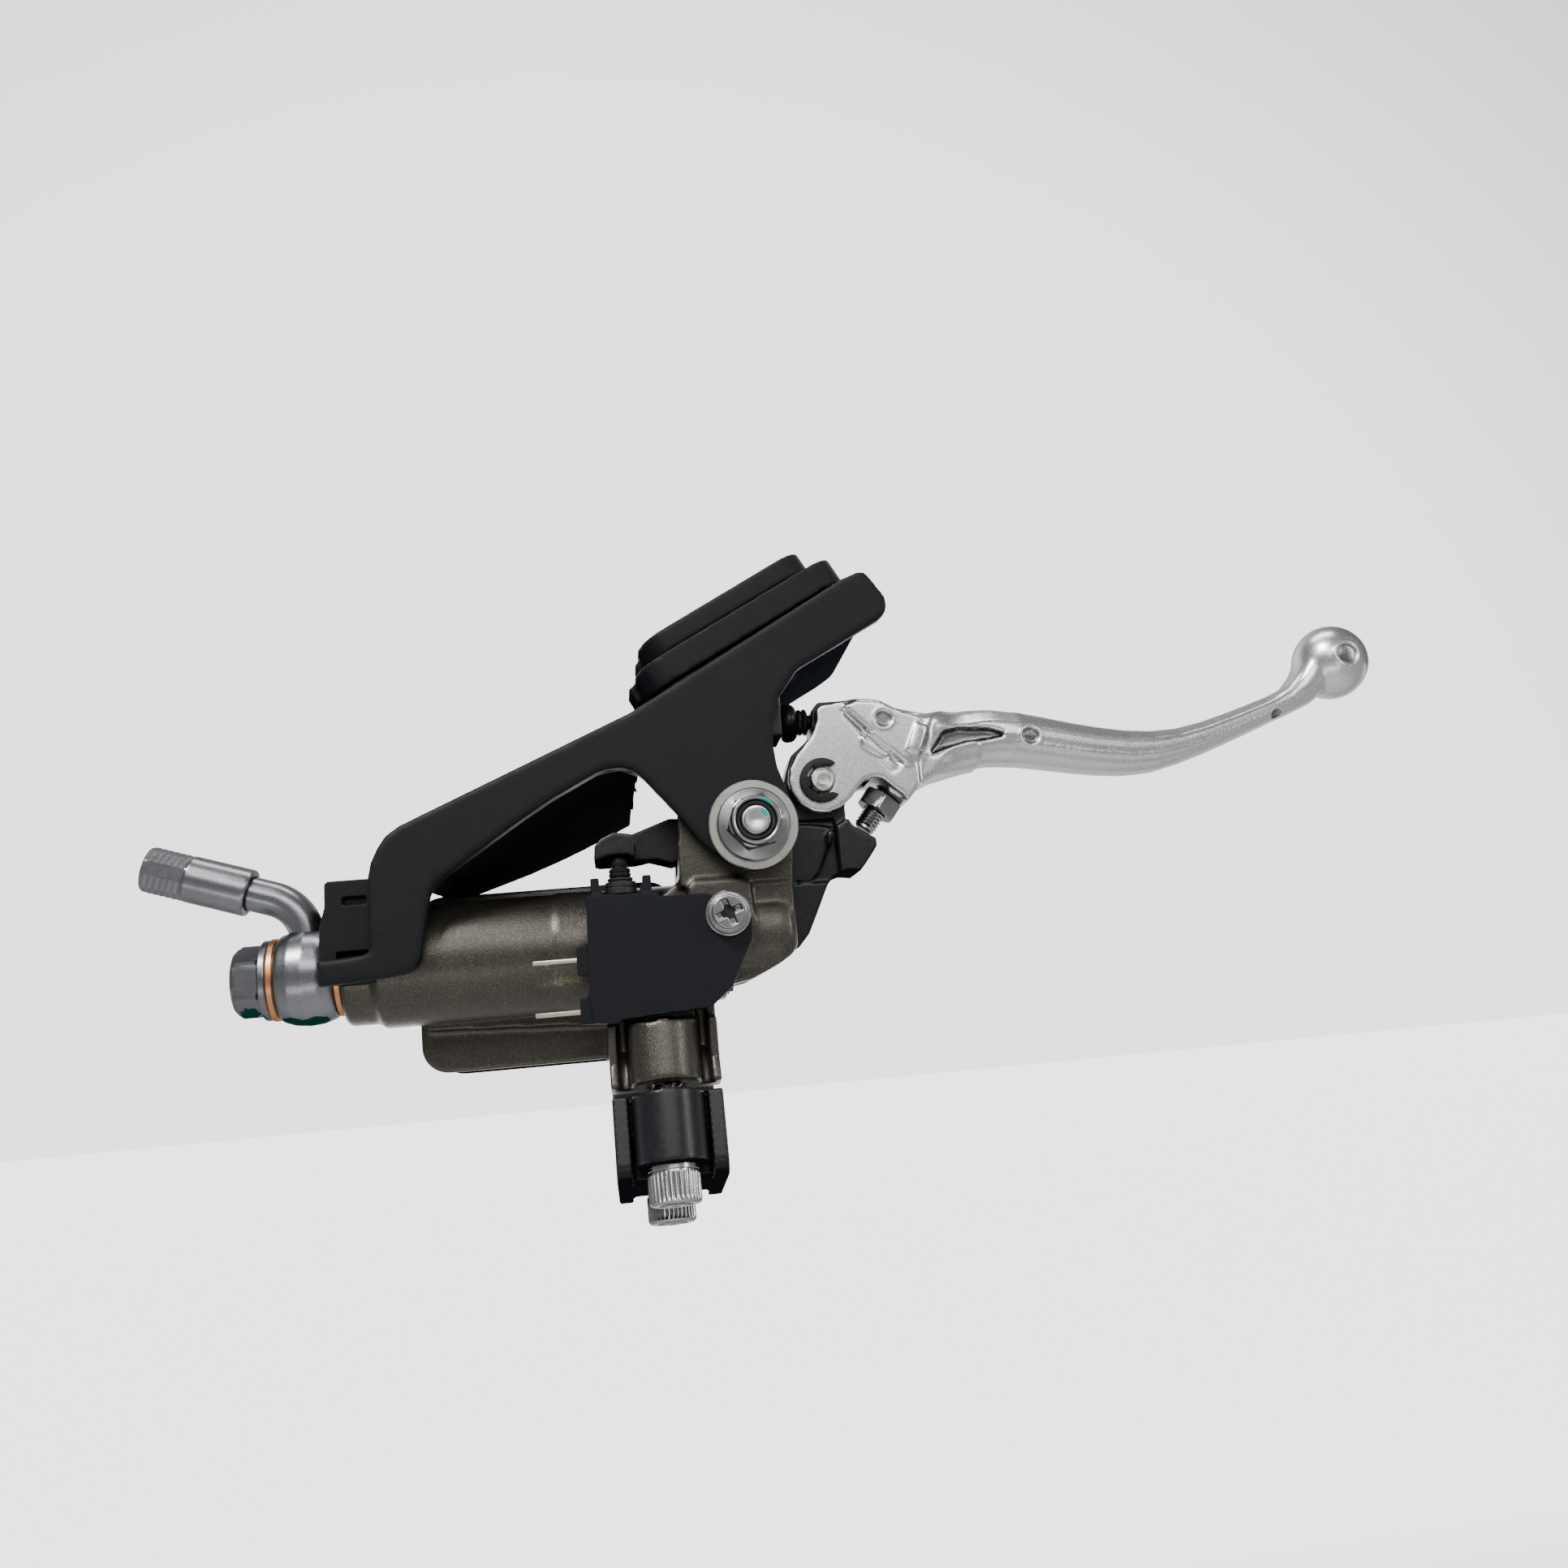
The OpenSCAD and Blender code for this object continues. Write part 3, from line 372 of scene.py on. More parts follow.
# Painted shade, a darker grey: (x, y, z) of a ball and its radius, in each recess and along the window
SHADED_HOLLOWS = [((51.4, -8, 75.4), 1.75), ((83.6, -6, 70.1), 1.9), ((141, -4, 71.6), 1.5),
        ((157.6, -8.4, 83.7), 2.5), ((63.6, -2.9, 69.2), 2.9), ((67, -2.9, 70.6), 2.9),
        ((70.4, -2.9, 71), 2.8), ((73.6, -2.9, 71.1), 2.7), ((76.4, -2.9, 71), 2.5)]


def make_materials():
    """Every material by name; a metal's dabs, each (centre, radius, colour), are teal paint marks, and the
    black one on the switch screw is painted shade in its recess.
    """
    return {
        "body_paint": metallic_paint("body_paint"),
        "black_paint": black_paint("black_paint"),
        "guard_plastic": grained_plastic("guard_plastic", (0.0052, 0.0058, 0.0068), 0.5, specular=0.12),
        "box_plastic": gloss_plastic("box_plastic", (0.006, 0.007, 0.009)),
        "switch_plastic": grained_plastic("switch_plastic", (0.0068, 0.0076, 0.0092), 0.5, 0.6, 0.02, 0.08),
        "lever_metal": cast_silver("lever_metal", SHADED_HOLLOWS),
        "zinc": metal("zinc", (0.42, 0.42, 0.40), 0.32, grain=0.6, wear=0.12, tint=0.8),
        "nut_steel": metal("nut_steel", (0.22, 0.22, 0.225), 0.32, wear=0.12,
                           marks_and_shade=[((23.3, -23.2, 56.7), 1.7, TEAL)]),
        "bolt_steel": metal("bolt_steel", (0.52, 0.52, 0.51), 0.3, wear=0.1,
                            marks_and_shade=[((22.7, -24.2, 54.7), 1.5, TEAL)]),
        "port_steel": metal("port_steel", (0.16, 0.165, 0.175), 0.34,
                            marks_and_shade=[((-80.5, -3, 22.4), 4.2, DEEP_TEAL)]),
        "hose_steel": metal("hose_steel", (0.20, 0.205, 0.215), 0.3,
                            marks_and_shade=[((-72, -3, 20.6), 3.9, DEEP_TEAL), ((-67.5, -3, 20.6), 3.9, DEEP_TEAL)]),
        "stainless": metal("stainless", (0.36, 0.36, 0.35), 0.26, wear=0.1),
        # the dark dab on the switch screw is painted shade in its cross recess
        "screw_steel": metal("screw_steel", (0.30, 0.30, 0.30), 0.28, wear=0.1,
                             marks_and_shade=[((SWITCH_SCREW[0], -18.9, SWITCH_SCREW[1]), 2.3, SCREW_RECESS_SHADE)]),
        "copper": metal("copper", (0.50, 0.23, 0.11), 0.36, grain=0.3),
        "bush_bronze": metal("bush_bronze", (0.45, 0.34, 0.16), 0.4),
        "piston_metal": metal("piston_metal", (0.42, 0.43, 0.45), 0.35),
        "dark_steel": metal("dark_steel", (0.028, 0.027, 0.025), 0.5, wear=0.1),
        "terminal": metal("terminal", (0.70, 0.66, 0.52), 0.3),
        "rubber": soft_rubber("rubber"),
    }


def paint(obj, material):
    obj.data.materials.clear()
    obj.data.materials.append(material)


# ---- shape helpers -----------------------------------------------------------
def new_object(name, mesh):
    made = bpy.data.objects.new(name, mesh)
    bpy.context.scene.collection.objects.link(made)
    return made


def applied(obj):
    """obj's mesh with its modifiers applied, which are then removed."""
    bpy.context.view_layer.update()
    seen = obj.evaluated_get(bpy.context.evaluated_depsgraph_get())
    mesh = bpy.data.meshes.new_from_object(seen)
    obj.modifiers.clear()
    obj.data = mesh
    return obj


def smooth_by_angle(obj, degrees):
    mesh = obj.data
    bm = bmesh.new()
    bm.from_mesh(mesh)
    limit = math.radians(degrees)
    for face in bm.faces:
        face.smooth = True
    for edge in bm.edges:
        edge.smooth = len(edge.link_faces) == 2 and edge.calc_face_angle(0) < limit
    bm.to_mesh(mesh)
    bm.free()


def copy_of(node):
    return new_object(node + "_look", NODES[node].data.copy())


def all_smooth(obj):
    for polygon in obj.data.polygons:
        polygon.use_smooth = True
    return obj


def remeshed(obj, voxel, smoothing):
    """One closed skin over obj's solids with softened edges, as on a casting or moulding."""
    skin = obj.modifiers.new("skin", "REMESH")
    skin.mode = "VOXEL"
    skin.voxel_size = voxel * MM
    soft = obj.modifiers.new("soft", "SMOOTH")
    soft.factor = 0.5
    soft.iterations = smoothing
    return all_smooth(applied(obj))


def bevelled(obj, width):
    """obj with its flat faces merged and its edges rounded."""
    bm = bmesh.new()
    bm.from_mesh(obj.data)
    bmesh.ops.remove_doubles(bm, verts=bm.verts, dist=0.002 * MM)
    bmesh.ops.dissolve_limit(bm, angle_limit=math.radians(0.6), verts=bm.verts, edges=bm.edges)
    bm.to_mesh(obj.data)
    bm.free()
    edge = obj.modifiers.new("edge", "BEVEL")
    edge.width = width * MM
    edge.segments = 2
    edge.limit_method = "ANGLE"
    edge.angle_limit = math.radians(28)
    edge.harden_normals = False
    applied(obj)
    smooth_by_angle(obj, 35)
    return obj


def stand_for(obj, body, material, *nodes, slot=None):
    """Paints obj, lets it ride on a body and shows it in the place of CAD nodes."""
    paint(obj, MATERIALS[material])
    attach(obj, body)
    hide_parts(*nodes)


def frame_on(origin, axis):
    """A matrix whose Z is axis, in the lever plane, with its origin there, in millimetres."""
    z = Vector(axis).normalized()
    x = Vector((0, 1, 0)).cross(z).normalized()
    turn = Matrix((x, z.cross(x), z)).transposed().to_4x4()
    return Matrix.Translation(Vector(origin)) @ turn


def ring(place, height, segments, radius):
    """Points around the Z of place; radius(angle) is their distance from it."""
    angles = [2 * math.pi * k / segments for k in range(segments)]
    return [place @ Vector((radius(a) * math.cos(a), radius(a) * math.sin(a), height)) * MM for a in angles]


def skin_of(name, rows, sharp):
    """A closed piece over rings of points, the last joined to the first. Edges up to sharp
    degrees are shaded smooth."""
    n, segments = len(rows), len(rows[0])
    faces = []
    for i in range(n):
        j = (i + 1) % n
        for k in range(segments):
            q = (k + 1) % segments
            faces.append((i * segments + k, i * segments + q, j * segments + q, j * segments + k))
    mesh = bpy.data.meshes.new(name)
    mesh.from_pydata([tuple(v) for row in rows for v in row], [], faces)
    bm = bmesh.new()
    bm.from_mesh(mesh)
    bmesh.ops.remove_doubles(bm, verts=bm.verts, dist=0.0005 * MM)
    bmesh.ops.recalc_face_normals(bm, faces=bm.faces)
    bm.to_mesh(mesh)
    bm.free()
    made = new_object(name, mesh)
    smooth_by_angle(made, sharp)
    return made


def turned(name, profile, place, segments=64, radius=None):
    """A turned piece: profile is [(radius, height)], and radius(r, h, angle) may vary it."""
    radius = radius or (lambda r, h, a: r)
    rows = [ring(place, h, segments, lambda a: radius(r, h, a)) for r, h in profile]
    return skin_of(name, rows, 30)


def hexagon(across, turn=0.0, only=lambda h: True):
    """radius(r, h, angle) that cuts the heights in only back to a hexagon's flats."""
    def radius(r, h, a):
        if not only(h):
            return r
        side = (math.degrees(a) - turn) % 60 - 30
        return min(r, across / 2 / math.cos(math.radians(side)))
    return radius


def thread(pitch, depth, h0, h1):
    """radius(r, h, angle) of a helical V thread cut depth deep between heights h0 and h1."""
    def radius(r, h, a):
        if not h0 <= h <= h1:
            return r
        wave = abs((h / pitch - a / (2 * math.pi)) % 1 * 2 - 1)
        return r - depth * wave
    return radius


def threaded(name, profile, place, pitch, depth, h0, h1, segments=48):
    """A turned piece with a helical thread on the part of its profile from h0 to h1.
    The profile's row at h0 is followed by its row at h1."""
    rows = []
    for k, (r, h) in enumerate(profile):
        rows.append((r, h))
        if h == h0 and profile[(k + 1) % len(profile)][1] == h1:
            steps = int(abs(h1 - h0) / pitch * 8)
            rows += [(r, h0 + (h1 - h0) * i / steps) for i in range(1, steps)]
    cut = thread(pitch, depth, min(h0, h1), max(h0, h1))
    return turned(name, rows, place, segments, cut)


def joined(name, *objs):
    """One object from the meshes of several, which are removed."""
    bm = bmesh.new()
    for obj in objs:
        bm.from_mesh(obj.data)
        bpy.data.objects.remove(obj)
    mesh = bpy.data.meshes.new(name)
    bm.to_mesh(mesh)
    bm.free()
    return new_object(name, mesh)


def plate(name, points, y0, y1):
    """A solid from an outline in the lever plane, [x, z], between two heights y."""
    bm = bmesh.new()
    near = [bm.verts.new(Vector((x, y0, z)) * MM) for x, z in points]
    far = [bm.verts.new(Vector((x, y1, z)) * MM) for x, z in points]
    bm.faces.new(near)
    bm.faces.new(far[::-1])
    n = len(points)
    for k in range(n):
        bm.faces.new((near[k], near[(k + 1) % n], far[(k + 1) % n], far[k]))
    bmesh.ops.triangulate(bm, faces=bm.faces)
    bmesh.ops.recalc_face_normals(bm, faces=bm.faces)
    mesh = bpy.data.meshes.new(name)
    bm.to_mesh(mesh)
    bm.free()
    return new_object(name, mesh)


def oval(centre, length, width, turn, steps=10):
    """Points of a rounded bar, [x, z], turned by an angle in degrees."""
    c, s = math.cos(math.radians(turn)), math.sin(math.radians(turn))
    out = []
    for end in (1, -1):
        for k in range(steps + 1):
            a = -math.pi / 2 + math.pi * k / steps + (0 if end > 0 else math.pi)
            u = end * (length - width) / 2 + width / 2 * math.cos(a)
            v = width / 2 * math.sin(a)
            out.append((centre[0] + u * c - v * s, centre[1] + u * s + v * c))
    return out


def moved_verts(obj, shift):
    """Moves each vertex by shift(x, y, z), all in millimetres."""
    mesh = obj.data
    n = len(mesh.vertices)
    flat = np.empty(n * 3)
    mesh.vertices.foreach_get("co", flat)
    at = flat.reshape(n, 3) / MM
    at = at + shift(at[:, 0], at[:, 1], at[:, 2])
    mesh.vertices.foreach_set("co", (at * MM).ravel())
    mesh.update()


def step_up(value, low, high):
    """Rises softly from 0 at low to 1 at high."""
    t = np.clip((value - low) / (high - low), 0, 1)
    return t * t * (3 - 2 * t)


def inside_outline(x, z, points):
    """True where x, z lies inside a closed outline."""
    inside = np.zeros(len(x), bool)
    for (ax, az), (bx, bz) in zip(points, points[1:] + points[:1]):
        if az != bz:
            inside ^= ((az > z) != (bz > z)) & (x < ax + (z - az) * (bx - ax) / (bz - az))
    return inside


def beside_line(x, z, a, b):
    """Distance to the line piece from a to b in the lever plane."""
    run = np.array(b, float) - a
    along = np.clip(((x - a[0]) * run[0] + (z - a[1]) * run[1]) / (run @ run), 0, 1)
    return np.hypot(x - a[0] - along * run[0], z - a[1] - along * run[1])


def only_y(shift):
    """A shift of [x, y, z] that moves y alone."""
    return np.stack([np.zeros_like(shift), shift, np.zeros_like(shift)], 1)


def pressed(obj, centre, radius, depth, soft, rim):
    """A round recess in the front face, with a raised rim."""
    def shift(x, y, z):
        far = np.hypot(x - centre[0], z - centre[1])
        dip = depth * (1 - step_up(far, radius - soft, radius))
        lip = rim * np.exp(-((far - radius - 0.3) / 0.3) ** 2)
        return only_y(np.where(y < -3, dip - lip, 0))
    moved_verts(obj, shift)


make_camera()
make_floor()
make_light()
MATERIALS = make_materials()

SLOT_OF = {s["node"]: s["material_slot"] for s in frame["record"]["subparts"]}
for name, node in NODES.items():
    paint(node, MATERIALS[SLOT_OF[name]])

IN_CLAMP = Matrix.Rotation(math.radians(CLAMP_TILT), 4, "X")
TOWARDS = Matrix.Rotation(math.pi / 2, 4, "X")  # local Z comes out of the lever plane, to -Y
ALONG = Matrix.Rotation(math.pi / 2, 4, "Y")  # local Z runs along +X


def at(x, y, z):
    return Matrix.Translation((x, y, z))


IN_SLEEVE = (at(PIPE_BEND[0], 0, PIPE_BEND[1]) @ Matrix.Rotation(math.radians(-PIPE_TURN), 4, "Y")
             @ at(PIPE_BEND_R, 0, 4.45))
IN_ADJUSTER = at(ADJUSTER[0], 0, ADJUSTER[1]) @ Matrix.Rotation(math.radians(ADJUSTER_ANGLE), 4, "Y")


# ---- castings and mouldings: the CAD solids with softened edges ---------------------
CAST = {  # node: (body, material, voxel in mm, rounds of smoothing)
    "clamp_cap": ("housing", "black_paint", 0.30, 6),
    "guard_bracket": ("housing", "guard_plastic", 0.62, 2),
    "guard_clip": ("housing", "guard_plastic", 0.26, 3),
    "guard_cover": ("housing", "guard_plastic", 0.50, 4),
    "guard_cap": ("housing", "guard_plastic", 0.45, 6),
    "guard_box": ("housing", "box_plastic", 0.46, 3),
    "banjo_fitting": ("housing", "hose_steel", 0.24, 4),
    "reservoir_lid": ("housing", "guard_plastic", 0.46, 3),
    "switch_body": ("housing", "switch_plastic", 0.25, 1),
    "switch_screw": ("housing", "screw_steel", 0.12, 5),
    "lever_carrier": ("carrier", "black_paint", 0.31, 3),
}
SLOT_FLOOR = [(-60.6, 43.3), (-55.3, 43.3), (-55.3, 45.9), (-60.6, 45.9)]


def cast_pieces():
    for node, (body, material, voxel, smoothing) in CAST.items():
        solids = copy_of(node)
        if node == "guard_clip":  # a dark floor behind the clip's upper slot
            solids = joined(node + "_look", solids, plate("slot_floor", SLOT_FLOOR, -11.7, -11.05))
        stand_for(remeshed(solids, voxel, smoothing), body, material, node, slot=SLOT_OF[node])


def body_casting():
    """Cylinder body and reservoir as the one casting they are, with a step on the barrel."""
    step = turned("step", [(0, 0), (12.5, 0), (12.5, 8), (0, 8)], at(-19.5, 0, BARREL_Z) @ ALONG, 96)
    solids = joined("body_casting", copy_of("cylinder_body"), step, copy_of("reservoir"))
    stand_for(remeshed(solids, 0.46, 3), "housing", "body_paint", "cylinder_body", "reservoir")


# ---- the lever: its CAD solid with the marks of a casting on the front face -----------
FRONT = -8.6  # y of the plates on the head
FACET = [(43.4, 78.6), (46.2, 79.6), (56.5, 76.6), (62.3, 76.2), (59.4, 70.5), (57.2, 66.2),
         (55.6, 65.4), (54.2, 66.8)]
FACET_FOOT = ((43.0, 78.0), (54.6, 65.6))  # the line that the valley beside the facet follows
WINDOW = [(60.6, 67), (64.6, 72.4), (68, 72.9), (74.9, 72.4), (77.6, 71.4), (77.6, 70.4), (74.5, 69.9),
          (69.6, 69.5), (63.7, 68.2)]
LABEL, LABEL_TURN = (58.2, 70.6), math.radians(66)

# The blade's edges: x, top z, bottom z
BLADE = np.array([[70, 77.1, 64.8], [76, 77.3, 65], [82, 76.6, 64.5], [88, 75.1, 63.5], [94, 73.5, 62.4],
                  [100, 72.1, 61.5], [106, 71, 61], [112, 70.4, 61.3], [118, 70.6, 62.7],
                  [124, 71.7, 64.5], [130, 73.3, 66.6], [136, 75.1, 68.8], [141, 76.7, 70.7],
                  [145, 78.4, 72.1]])
# The blade's section from its bottom edge, -1, to its top edge, 1, as shares of its half thickness
SECTION_T = [-1, -0.93, -0.75, -0.5, -0.4, -0.3, 0.2, 0.45, 0.82, 1]
SECTION_Y = [0.05, 0.52, 0.80, 0.89, 0.95, 1, 1, 0.92, 0.55, 0.05]
# The most that the root's half thickness may be, and how far its top edge is raised, along x
ROOT_X, ROOT_Y = [57, 60, 63, 66, 73, 80], [8.9, 8.6, 7.5, 7.0, 6.6, 6.5]
CREST_X, CREST_Z = [46.5, 51, 56, 61, 65, 71, 78, 84], [0, 0.8, -0.4, -1, 0, 0.6, 0.3, 0]

# Smoothing beside a line: its ends, reach and rounds
EASED = [((150, 50), (150, 95), 4.5, 45),  # the ball's neck
         ((61.5, 50), (61.5, 95), 4.5, 18), ((67, 50), (67, 95), 12, 4),  # the root
         ((62.8, 78), (57.6, 66.5), 2.6, 40)]  # the facet's far edge


def flat_front(x, y, z):
    """Gives the blade a flat front between two edges, with a rough parting line."""
    top = np.interp(x, BLADE[:, 0], BLADE[:, 1])
    bottom = np.interp(x, BLADE[:, 0], BLADE[:, 2])
    t = np.clip((z - (top + bottom) / 2) / ((top - bottom) / 2), -0.999, 0.999)
    was = (1 - np.abs(t) ** 2.5) ** 0.4
    now = np.interp(t, SECTION_T, SECTION_Y)
    share = step_up(x, 76, 84) * (1 - step_up(x, 139, 145))
    line = np.exp(-((t + 0.36) / 0.06) ** 2) * share
    rough = np.sin(x * 9.1) * np.sin(x * 4.3 + 1) + np.sin(x * 15.7 + 2) * 0.6
    flat = y * (np.clip(now / was, 0.8, 1.15) - 1) * share
    return only_y(flat + np.sign(y) * line * (0.10 + 0.07 * rough))


def edges_at(x, z, first, last):
    """The top and bottom z of the vertices between x = first and last, in 1 mm bins."""
    bins = np.arange(first, last, 1.0) + 0.5
    where = np.clip((x - first - 0.5).round().astype(int), 0, len(bins) - 1)
    inside = (x > first) & (x < last)
    top, bottom = np.full(len(bins), -1e9), np.full(len(bins), 1e9)
    np.maximum.at(top, where[inside], z[inside])
    np.minimum.at(bottom, where[inside], z[inside])
    return np.interp(x, bins, top), np.interp(x, bins, bottom)


def blended_root(x, y, z):
    """Runs the head's flat sides into the blade without a step."""
    top, bottom = edges_at(x, z, 46, 92)
    t = np.clip((z - (top + bottom) / 2) / np.maximum((top - bottom) / 2, 0.1), -1, 1)
    rounding = step_up(x, 60, 70)
    limit = np.interp(x, ROOT_X, ROOT_Y) * (1 - rounding + rounding * np.interp(t, SECTION_T, SECTION_Y))
    share = step_up(x, 57, 58) * (1 - step_up(x, 80, 84)) * (np.abs(y) > 0.5)
    high = step_up((z - bottom) / np.maximum(top - bottom, 0.1), 0.55, 1)
    thinner = np.sign(y) * np.minimum(0, limit - np.abs(y)) * share
    return np.stack([np.zeros_like(x), thinner, high * np.interp(x, CREST_X, CREST_Z)], 1)


def valley(x, y, z):
    """A shallow valley that widens along the foot of the raised facet."""
    (ax, az), (bx, bz) = FACET_FOOT
    along = ((x - ax) * (bx - ax) + (z - az) * (bz - az)) / ((bx - ax) ** 2 + (bz - az) ** 2)
    side = ((x - ax) * (bz - az) - (z - az) * (bx - ax)) / math.hypot(bx - ax, bz - az)
    width = 0.8 + 2.6 * np.clip(along, 0, 1)
    dip = np.where((side > 0) & (side < width), 1 - side / width, 0)
    dip = dip * step_up(along, -0.02, 0.06) * (1 - step_up(along, 0.94, 1.04))
    return only_y(np.where(y < -6.5, dip, 0))


def deeper_window(x, y, z):
    """Doubles the depth of the window behind the neck's front face."""
    return only_y(np.where((y < -3) & inside_outline(x, z, WINDOW), np.maximum(0, y + 6.5), 0))


def label_plate(x, y, z):
    """A blank raised plate where the head runs into the blade."""
    u, v = x - LABEL[0], z - LABEL[1]
    along = np.abs(u * math.cos(LABEL_TURN) + v * math.sin(LABEL_TURN))
    across = np.abs(v * math.cos(LABEL_TURN) - u * math.sin(LABEL_TURN))
    rise = (1 - step_up(along, 2.9, 3.4)) * (1 - step_up(across, 1.2, 1.7))
    return only_y(np.where(y < -5.5, -0.45 * rise, 0))


def eased(obj):
    """Smooths obj beside each line of EASED."""
    co = np.array([v.co for v in obj.data.vertices]) / MM
    for a, b, reach, rounds in EASED:
        group = obj.vertex_groups.new(name="ease")
        share = np.minimum(1, (1 - beside_line(co[:, 0], co[:, 2], a, b) / reach) * 1.6)
        for index in np.flatnonzero(share > 0):
            group.add([int(index)], float(share[index]), "REPLACE")
        ease = obj.modifiers.new("ease", "SMOOTH")
        ease.vertex_group = group.name
        ease.factor, ease.iterations = 0.7, rounds
    applied(obj)


def lever_casting():
    plates = [plate("facet", FACET, FRONT, -7),
              plate("mark", oval((49.4, 69.9), 6.6, 3.1, -35), FRONT, -7),
              plate("label", oval((58.6, 70.3), 6.8, 3.0, 66), FRONT - 0.4, -7)]
    lever = remeshed(joined("lever_casting", copy_of("lever"), *plates), 0.34, 3)
    for shift in (flat_front, blended_root, valley, deeper_window):
        moved_verts(lever, shift)
    for recess in RECESSES:
        pressed(lever, *recess)
    eased(lever)
    moved_verts(lever, label_plate)
    stand_for(all_smooth(lever), "lever", "lever_metal", "lever")


# ---- turned and pressed hardware ---------------------------------------------------
HEAD_R, SOCKET_R = 5.0, 2.9  # of the clamp's cap screws


def clamp_bolts():
    """Two cap screws with knurled heads, hexagon sockets and threaded shanks."""
    def knurl(r, h, a):
        if r == HEAD_R and h > -21.5:
            return r - 0.28 * abs(math.sin(18 * a)) ** 0.7
        if r == SOCKET_R:
            return 2.5 / math.cos((a % (math.pi / 3)) - math.pi / 6)
        return r

    made = []
    for side in (-1, 1):
        place = IN_CLAMP @ at(0, side * BOLT_SPACING / 2, 0)
        head = turned("head", [
            (0, -18.5), (SOCKET_R, -18.5), (SOCKET_R, -21.5), (3.25, -21.9), (4.35, -21.9), (4.7, -21.75),
            (4.9, -21.5), (HEAD_R, -21.2), (HEAD_R, -20.5), (HEAD_R, -16.6), (4.8, -16.2), (4.75, -15.85),
            (0, -15.85)], place, 216, knurl)
        shank = threaded("shank", [(0, -16.2), (3, -16.2), (3, -3), (3, 12.4), (2.5, 12.9), (0, 12.9)],
                         place, 1.0, 0.5, -3, 12.4)
        made += [head, shank]
    stand_for(joined("clamp_bolts_look", *made), "housing", "stainless", "clamp_bolts")


def rings(name, node, body, material, pieces):
    """Flat washers with rounded edges: each of pieces is (place, inner, outer, h0, h1, edge)."""
    made = [turned("ring", [(ri, h0), (ro - e, h0), (ro, h0 + e), (ro, h1 - e), (ro - e, h1), (ri, h1)],
                   place, 96) for place, ri, ro, h0, h1, e in pieces]
    stand_for(joined(name, *made), body, material, node, slot=SLOT_OF[node])


def pivot_stack():
    place = at(PIVOT[0], 0, PIVOT[1]) @ TOWARDS
    nut = turned("pivot_nut_look", [
        (3.05, 17.5), (7.2, 17.5), (7.4, 17.7), (7.4, 18.15), (7.15, 18.45), (6.2, 18.75), (5.9, 19.0),
        (5.9, 19.4), (5.9, 21.5), (5.35, 22.0), (5.0, 22.15), (4.95, 22.5), (4.95, 22.95),
        (4.75, 23.3), (4.45, 23.4), (4.15, 23.25), (4.05, 22.9), (4.0, 22.0), (3.05, 21.9)],
        place, 96, hexagon(10.0, 12.0, lambda h: 18.9 < h < 22.1))
    stand_for(nut, "housing", "nut_steel", "pivot_nut")
    insert = turned("pivot_nut_insert", [(3.0, 21.6), (3.98, 21.6), (3.98, 22.75), (3.7, 23.05),
                                         (3.2, 22.9), (3.0, 22.5)], place, 64)
    stand_for(insert, "housing", "rubber", "pivot_nut_ring")
    bolt = threaded("pivot_bolt_look", [
        (0, -16.9), (4.6, -16.9), (5.3, -16.6), (5.9, -16.2), (5.9, -12.9), (6.7, -12.85),
        (7.0, -12.6), (7.0, -11.7), (6.8, -11.5), (2.98, -11.45), (2.98, 19), (2.98, 23.2), (2.75, 23.5),
        (2.5, 23.55), (2.45, 24.0), (2.25, 24.2), (1.0, 24.2), (0.7, 24.08), (0, 24.08)],
        place, 1.0, 0.4, 19, 23.2, 72)
    moved_verts(bolt, hexagon_head)
    stand_for(bolt, "housing", "bolt_steel", "pivot_bolt", slot=SLOT_OF["pivot_bolt"])
    rings("pivot_washer_look", "pivot_washer", "housing", "zinc", [(place, 3.2, 9.05, 16.0, 17.5, 0.22)])


def hexagon_head(x, y, z):
    """Pulls the far head of the pivot bolt in to a 10 mm hexagon."""
    u, v = x - PIVOT[0], z - PIVOT[1]
    r, a = np.hypot(u, v), np.degrees(np.arctan2(v, u))
    flat = 5 / np.cos(np.radians(a % 60 - 30))
    scale = np.where((y > 12.95) & (r > flat), flat / np.maximum(r, 1e-9), 1)
    return np.stack([u * (scale - 1), np.zeros_like(u), v * (scale - 1)], 1)


def banjo():
    """The banjo bolt with its flanged hexagon head, and the two copper washers."""
    place = at(0, 0, PORT_Z) @ ALONG
    bolt = turned("banjo_bolt_look", [
        (0, -83.5), (5.4, -83.5), (6.0, -83.3), (6.6, -82.8), (7.16, -82.1), (7.16, -78.4), (6.6, -78.0),
        (7.6, -77.9), (7.95, -77.6), (8.0, -77.2), (8.0, -76.6), (7.8, -76.3), (5.0, -76.3),
        (5.0, -52.2), (4.6, -52), (1.6, -52), (1.6, -69.5), (0, -70)],
        place, 120, hexagon(12.4, 0.0, lambda h: h < -77.95))
    stand_for(bolt, "housing", "port_steel", "banjo_bolt", slot=SLOT_OF["banjo_bolt"])
    rings("banjo_washers_look", "banjo_washers", "housing", "copper",
          [(place, 5.12, 8.25, x, x + 1.5, 0.3) for x in (-76.3, -63.5)])


def hose_pipe():
    """A tube that rises from the banjo's eye, follows the bend and ends in the sleeve."""
    (cx, cz), r = PIPE_BEND, PIPE_BEND_R
    path = [((cx + r, 0, 37.0), (0, 0, 1))]
    for a in np.radians(np.linspace(0, PIPE_TURN, 25)):
        path.append(((cx + r * math.cos(a), 0, cz + r * math.sin(a)), (-math.sin(a), 0, math.cos(a))))
    path.append((IN_SLEEVE @ Vector((0, 0, 4.0)), path[-1][1]))
    outer, inner = [[ring(frame_on(*step), 0, 40, lambda a: wall) for step in path] for wall in (3.5, 1.8)]
    pipe = skin_of("hose_pipe_look", outer + inner[::-1], 40)
    stand_for(pipe, "housing", "hose_steel", "hose_pipe")


